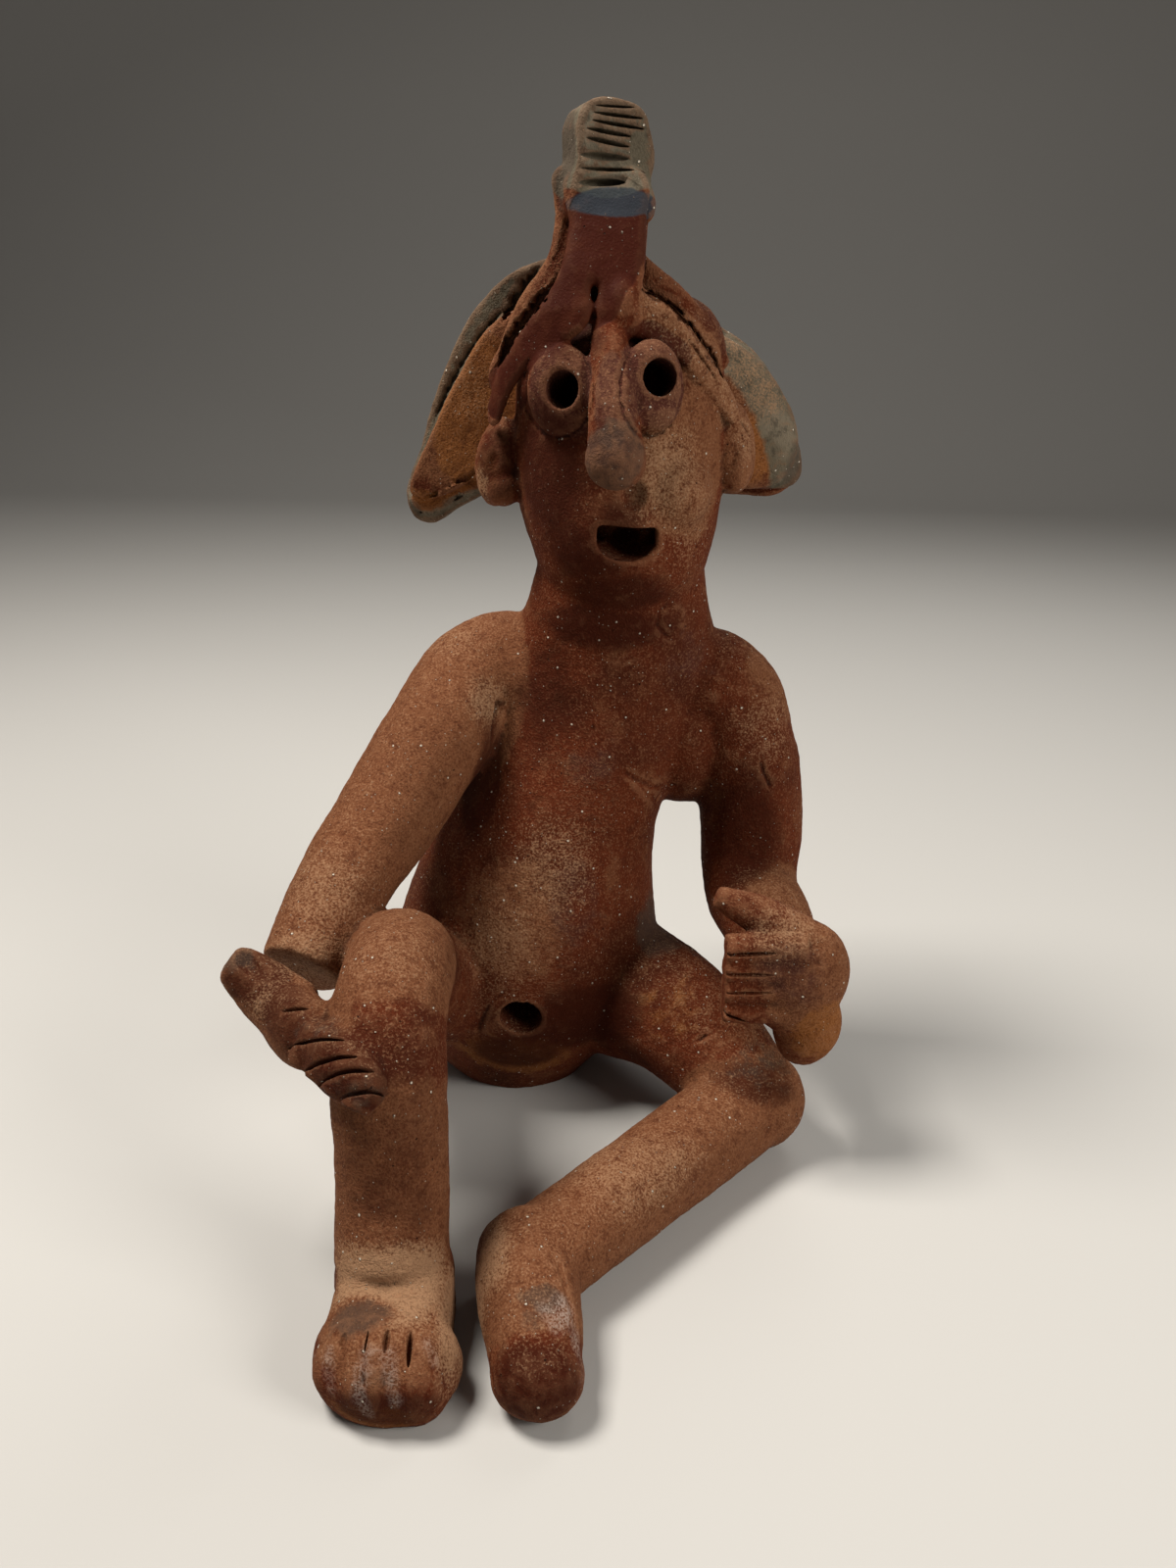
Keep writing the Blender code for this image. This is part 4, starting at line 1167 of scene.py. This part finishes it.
class Mixer:
    """Lays out the steps of a finish, one after another."""

    def __init__(self, finish):
        self.tree = finish.node_tree
        self.place = Vector((-1800, 600))

    def add(self, kind, settings=None, **inputs):
        """A new step of this kind, set beside the last one, with what is fed into it."""
        step = self.tree.nodes.new(kind)
        step.location = self.place
        self.place += Vector((190, 0))
        if self.place.x > 1200:
            self.place = Vector((-1800, self.place.y - 330))
        for key, value in (settings or {}).items():
            setattr(step, key, value)
        for key, value in inputs.items():
            self.feed(step.inputs[key.replace("_", " ")], value)
        return step

    def feed(self, socket, value):
        """Links another step's output to the socket, or sets its plain value."""
        if isinstance(value, bpy.types.NodeSocket):
            self.tree.links.new(value, socket)
        elif value is not None:
            socket.default_value = value

    def sum(self, how, first, second=None, third=None, clamp=False):
        """A sum of two or three values, worked out in this way."""
        step = self.add("ShaderNodeMath", {"operation": how, "use_clamp": clamp})
        for socket, value in zip(step.inputs, (first, second, third)):
            self.feed(socket, value)
        return step.outputs[0]

    def grain(self, where, size, detail=3.0, rough=0.55, stir=0.0):
        """Cloudy noise whose lumps are about this many millimetres across."""
        step = self.add("ShaderNodeTexNoise", Vector=where, Scale=1000 / size, Detail=detail,
                        Roughness=rough, Distortion=stir)
        return step.outputs["Fac"]

    def stirred(self, value, noise, amount):
        """The value pushed up and down by this much noise."""
        return self.sum("MULTIPLY_ADD", self.sum("SUBTRACT", noise, 0.5), amount, value)

    def ramp(self, value, low, high):
        """0 below low, 1 above high, and a soft step between."""
        step = self.add("ShaderNodeMapRange", {"interpolation_type": "SMOOTHSTEP", "clamp": True})
        self.feed(step.inputs["Value"], value)
        self.feed(step.inputs["From Min"], low)
        self.feed(step.inputs["From Max"], high)
        return step.outputs["Result"]

    def mark(self, name):
        """The value kept under this name on each point of the body."""
        return self.add("ShaderNodeAttribute", {"attribute_name": name}).outputs["Fac"]

    def laid(self, under, over, amount, strength=None):
        """One colour laid over another by this amount, which a strength can thin."""
        if strength is not None:
            amount = self.sum("MULTIPLY", amount, strength)
        step = self.add("ShaderNodeMix", {"data_type": "RGBA", "blend_type": "MIX", "clamp_factor": True})
        self.feed(step.inputs["Factor"], amount)
        self.feed(step.inputs["A"], under)
        self.feed(step.inputs["B"], over)
        colours = [socket for socket in step.outputs if socket.type == "RGBA"]
        return colours[0]

    def dots(self, where, size, radius, share):
        """Round specks: cells so many millimetres across, each holding a dot with this chance."""
        step = self.add("ShaderNodeTexVoronoi", {"feature": "F1"}, Vector=where, Scale=1000 / size)
        inside = self.ramp(step.outputs["Distance"], radius / size, radius / size * 0.45)
        parts = self.add("ShaderNodeSeparateColor", Color=step.outputs["Color"])
        chosen = self.sum("LESS_THAN", parts.outputs[0], share)
        return self.sum("MULTIPLY", inside, chosen), parts.outputs[1]


def fired_clay():
    """Dark red-brown earthenware with sand in it, worn slip, faded paint, smoke marks and dust, and painted
    light and shade.
    """
    finish = bpy.data.materials.new("fired_clay")
    finish.use_nodes = True
    shader = finish.node_tree.nodes["Principled BSDF"]
    mix = Mixer(finish)
    where = mix.add("ShaderNodeTexCoord").outputs["Object"]

    broad = mix.grain(where, 22, 3)
    patches = mix.grain(where, 7, 4, 0.6, 0.4)
    mottle = mix.grain(where, 2.2, 4, 0.62)
    sand = mix.grain(where, 0.42, 2, 0.6)
    dragged_to = mix.add("ShaderNodeMapping", Vector=where, Rotation=(0.3, 0.65, 0.2),
                         Scale=(0.5, 1.0, 1.3))
    drags = mix.grain(dragged_to.outputs["Vector"], 0.8, 2, 0.5, 1.8)

    def reach(name, ragged, low=0.36, high=0.62):
        """A painted mask with its rim broken up by the mottling."""
        stirred = mix.stirred(mix.mark(name), patches, ragged)
        return mix.ramp(mix.stirred(stirred, mottle, ragged * 0.8), low, high)

    colour = mix.laid(DARK_CLAY, RED_CLAY, mix.ramp(broad, 0.30, 0.60))
    colour = mix.laid(colour, BROWN_CLAY_AND_LIGHT, mix.ramp(patches, 0.50, 0.74), 0.6)
    # Lighter brown, partly painted light on the lit side of the head and on the limbs.
    colour = mix.laid(colour, BROWN_CLAY_AND_LIGHT, reach("brown_clay_and_painted_light", 0.5), 0.82)
    # Plum, partly painted shade on the top of the nose and on the left shin.
    colour = mix.laid(colour, PLUM_CLAY_AND_SHADE, reach("plum_clay_and_painted_shade", 0.5), 0.86)
    orange = reach("orange_clay", 0.6)
    colour = mix.laid(colour, ORANGE_CLAY, orange, 0.85)
    colour = mix.laid(colour, PALE_CLAY, mix.ramp(sand, 0.50, 0.68), 0.38)
    colour = mix.laid(colour, DARK_CLAY, mix.ramp(sand, 0.50, 0.34), 0.5)
    colour = mix.laid(colour, DARK_CLAY, mix.ramp(mottle, 0.48, 0.3), 0.5)

    # Deep red, partly painted shade under the chin, in the armpit, under the belly and at the toe ends.
    deep_red_and_shade = reach("deep_red_and_painted_shade", 0.6, 0.3, 0.75)
    colour = mix.laid(colour, DEEP_RED_AND_SHADE, deep_red_and_shade, 0.84)
    slip = reach("red_slip", 0.25)
    slip_colour = mix.laid(RED_SLIP, RED_SLIP_WORN, mix.ramp(patches, 0.45, 0.7))
    colour = mix.laid(colour, slip_colour, slip, 0.92)

    proud = mix.mark("proud")
    worn = mix.ramp(mix.stirred(proud, mottle, 0.7), 0.12, 0.5)
    paint = reach("green_paint", 0.55)
    kept = mix.sum("SUBTRACT", 1.0, mix.sum("MULTIPLY", worn, 0.22))
    paint = mix.sum("MULTIPLY", paint, kept)
    paint_colour = mix.laid(GREEN_PAINT, GREEN_PAINT_PALE, mix.ramp(patches, 0.4, 0.68))
    paint_colour = mix.laid(paint_colour, GREEN_PAINT_DARK, mix.ramp(mottle, 0.5, 0.32), 0.6)
    colour = mix.laid(colour, paint_colour, paint, 0.94)
    blue = reach("blue_paint", 0.45)
    colour = mix.laid(colour, BLUE_PAINT, blue, 0.85)
    # Soot, with painted shade on the side of the comb and in the right thumb's cup.
    soot_and_shade = reach("kiln_soot_and_painted_shade", 0.7)
    colour = mix.laid(colour, SOOT_AND_SHADE, soot_and_shade, 0.66)

    smooth_skin = mix.sum("MAXIMUM", slip, mix.sum("MULTIPLY", deep_red_and_shade, 0.7))
    wear = mix.sum("MULTIPLY", worn, mix.sum("MULTIPLY_ADD", paint, -0.2, 0.3))
    wear = mix.sum("MULTIPLY", wear, mix.sum("MULTIPLY_ADD", smooth_skin, -0.8, 1.0))
    colour = mix.laid(colour, PALE_CLAY, wear)
    # Dust, partly painted light on what faces up and on the lit cheek, knees and instep.
    sprinkled = mix.stirred(mix.mark("tan_dust_and_painted_light"), sand, 1.5)
    dust_and_light = mix.ramp(mix.stirred(sprinkled, mottle, 0.6), 0.22, 0.95)
    colour = mix.laid(colour, TAN_DUST_AND_LIGHT, dust_and_light, 0.8)
    scuffs = mix.sum("MULTIPLY", reach("pale_scuffs", 0.5, 0.2, 0.8), mix.ramp(sand, 0.36, 0.6))
    colour = mix.laid(colour, PALE_SCUFF, scuffs, 0.6)

    scraped = mix.sum("MULTIPLY", mix.ramp(drags, 0.53, 0.66), reach("scraped_clay", 0.5))
    colour = mix.laid(colour, PALE_CLAY, scraped, 0.36)

    # Painted shade, with some grime, darkens the hollows and the deep gaps between parts.
    hollow = mix.mark("hollow")
    grime_and_painted_shade = mix.ramp(mix.stirred(hollow, mottle, 0.4), 0.25, 0.9)
    colour = mix.laid(colour, DEEP_SHADE, grime_and_painted_shade, 0.62)

    shaken = mix.add("ShaderNodeVectorMath", {"operation": "MULTIPLY_ADD"})
    stir = mix.add("ShaderNodeTexNoise", Vector=where, Scale=1000 / 0.35)
    mix.feed(shaken.inputs[0], stir.outputs["Color"])
    mix.feed(shaken.inputs[1], (0.00022, 0.00022, 0.00022))
    mix.feed(shaken.inputs[2], where)
    where_shaken = shaken.outputs[0]
    # The pores are painted as dark as the shade in their pits.
    pores, _ = mix.dots(where_shaken, 3.1, 0.22, 0.35)
    colour = mix.laid(colour, DEEP_SHADE, pores, 0.8)
    specks, tint = mix.dots(where_shaken, 0.9, 0.16, 0.30)
    grits, _ = mix.dots(where_shaken, 2.7, 0.30, 0.40)
    speck_colour = mix.laid(SAND_TAN, SAND_WHITE, tint)
    colour = mix.laid(colour, speck_colour, specks, mix.sum("MULTIPLY_ADD", smooth_skin, -0.4, 0.62))
    colour = mix.laid(colour, SAND_WHITE, grits, mix.sum("MULTIPLY_ADD", smooth_skin, -0.3, 0.8))
    mix.feed(shader.inputs["Base Color"], colour)

    rough = mix.sum("MULTIPLY_ADD", sand, 0.12, 0.80)
    rough = mix.sum("SUBTRACT", rough, mix.sum("MULTIPLY", slip, 0.14))
    rough = mix.sum("SUBTRACT", rough, mix.sum("MULTIPLY", grits, 0.3), clamp=True)
    mix.feed(shader.inputs["Roughness"], rough)

    smooth = mix.sum("SUBTRACT", 1.0, mix.sum("MULTIPLY", slip, 0.5))
    relief = mix.sum("MULTIPLY", mottle, 0.55)
    relief = mix.sum("MULTIPLY_ADD", sand, 0.5, relief)
    relief = mix.sum("MULTIPLY_ADD", scraped, 0.22, relief)
    relief = mix.sum("MULTIPLY", relief, smooth)
    relief = mix.sum("MULTIPLY_ADD", specks, 0.45, relief)
    relief = mix.sum("MULTIPLY_ADD", grits, 0.8, relief)
    relief = mix.sum("MULTIPLY_ADD", pores, -0.8, relief)
    bump = mix.add("ShaderNodeBump", Strength=1.0, Distance=0.55 * MM, Height=relief)
    mix.feed(shader.inputs["Normal"], bump.outputs["Normal"])
    shader.inputs["Specular IOR Level"].default_value = 0.08
    return finish


def shaped():
    """The whole figure as one body of clay."""
    lumps = torso() + skull() + brow() + arms() + palms() + legs() + feet()
    wiped = fused(lumps, WIPED_GRAIN, WIPING_ROUNDS)
    added = face() + right_wing() + left_wing() + brow_sheet() + crest()
    added += fingers() + toes() + added_pellets()
    body = fused([wiped] + added, CUT_GRAIN, 1)
    taken_away(body, pokes())
    picked(body)
    tooled(body, "one skin", "REMESH", mode="VOXEL", voxel_size=LAST_GRAIN * MM)
    tooled(body, "eased", "SMOOTH", factor=0.5, iterations=2)
    hand_worked(body)
    places, facings = places_of(body), facings_of(body)
    for line, width, depth in creases():
        scored(places, facings, line, width, depth)
    for line, width, depth, seed in tears():
        torn(places, facings, line, width, depth, seed)
    low = np.array(SOLID_LOW) / MM + HAIR
    high = np.array(SOLID_HIGH) / MM - HAIR
    put_back(body, np.clip(places, low, high))
    taken_away(body, knife_cuts() + wing_joints())
    fine_places = places_of(body)
    close, wide = hollows_and_edges(body)
    share_kept = min(1.0, MOST_FACES / (2 * len(body.data.polygons)))
    tooled(body, "fewer faces", "DECIMATE", ratio=share_kept, use_collapse_triangulate=True)
    flaps_trimmed(body)
    nearest = nearest_of(fine_places, places_of(body))
    pits, dips = -close[nearest] / DARKENED_AT, -wide[nearest] / SUNK_AT
    marked(body, "proud", np.clip(close[nearest] / WORN_AT, 0, 1))
    marked(body, "hollow", np.clip(pits, 0, 0.6) + np.clip(dips, 0, 0.8))
    body.name = "fired_clay_figurine"
    body.data.name = "fired_clay_figurine"
    bpy.ops.object.shade_smooth()
    return body


def painted(body):
    """Lays slip, paint, soot, dust and painted light and shade on the body and gives it its finish."""
    places, facings = places_of(body), facings_of(body)
    for layer in (
        green_paint, blue_paint, red_slip, deep_red_and_painted_shade, brown_clay_and_painted_light, orange_clay, plum_clay_and_painted_shade,
        kiln_soot_and_painted_shade, scraped_clay, pale_scuffs,
    ):
        marked(body, layer.__name__, layer(places))
    marked(body, "tan_dust_and_painted_light", tan_dust_and_painted_light(places, facings))
    body.data.materials.clear()
    body.data.materials.append(fired_clay())


def backdrop():
    """A plain pale floor with a softly rising back."""
    bpy.ops.mesh.primitive_plane_add(size=2.4, location=(0, 0.3, 0))
    floor = bpy.context.object
    floor.name = "floor"
    bpy.ops.object.mode_set(mode="EDIT")
    bpy.ops.mesh.select_all(action="DESELECT")
    bpy.ops.object.mode_set(mode="OBJECT")
    for edge in floor.data.edges:
        edge.select = all(floor.data.vertices[end].co.y > 0.5 for end in edge.vertices)
    bpy.ops.object.mode_set(mode="EDIT")
    bpy.ops.mesh.extrude_region_move(TRANSFORM_OT_translate={"value": (0, 0.35, 1.3)})
    bpy.ops.object.mode_set(mode="OBJECT")
    bpy.ops.object.transform_apply(location=True, rotation=True, scale=True)
    tooled(floor, "rising", "BEVEL", width=0.5, segments=16, affect="EDGES")
    bpy.ops.object.shade_smooth()
    paper = bpy.data.materials.new("pale_paper")
    paper.use_nodes = True
    shader = paper.node_tree.nodes["Principled BSDF"]
    shader.inputs["Base Color"].default_value = PALE_PAPER
    shader.inputs["Roughness"].default_value = 0.85
    floor.data.materials.append(paper)


def soft_light(name, place, target, size, power, colour):
    """A square light of this size, turned to its target."""
    bpy.ops.object.light_add(type="AREA", location=place)
    lamp = bpy.context.object
    lamp.name = name
    lamp.data.size = size
    lamp.data.energy = power
    lamp.data.color = colour
    lamp.rotation_euler = (Vector(target) - Vector(place)).to_track_quat("-Z", "Y").to_euler()


def studio():
    """Soft light from above on the figure's right, and a weak fill from its left."""
    middle = (0.01, -0.04, 0.09)
    soft_light("key", (-0.29, -0.04, 0.68), middle, 0.22, 6.6, (1.0, 0.95, 0.88))
    soft_light("fill", (0.50, -0.36, 0.40), middle, 0.30, 3.0, (1.0, 0.96, 0.90))
    soft_light("back", (0.26, 0.46, 0.60), middle, 0.40, 1.3, (1.0, 0.98, 0.94))
    air = bpy.data.worlds.new("air")
    bpy.context.scene.world = air
    air.use_nodes = True
    air.node_tree.nodes["Background"].inputs["Color"].default_value = WARM_AIR
    air.node_tree.nodes["Background"].inputs["Strength"].default_value = 0.09
    bpy.context.scene.view_settings.view_transform = "Standard"


def camera():
    """Close in front and a little above the face, looking down at the feet."""
    bpy.ops.object.camera_add()
    eye = bpy.context.object
    eye.name = "camera"
    eye.data.sensor_fit = "VERTICAL"
    eye.data.sensor_height = EYE_FILM_HEIGHT
    eye.data.lens = EYE_LENS
    eye.data.clip_start = 0.01
    eye.rotation_mode = "XYZ"
    tilt = Matrix.Rotation(math.pi / 2 - math.radians(EYE_DOWN), 4, "X")
    roll = Matrix.Rotation(math.radians(EYE_LEAN), 4, "Z")
    eye.matrix_world = Matrix.Translation(EYE_PLACE) @ tilt @ roll
    bpy.context.scene.camera = eye


piece = shaped()
painted(piece)
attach(piece, "root")
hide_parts("figurine")
backdrop()
studio()
camera()
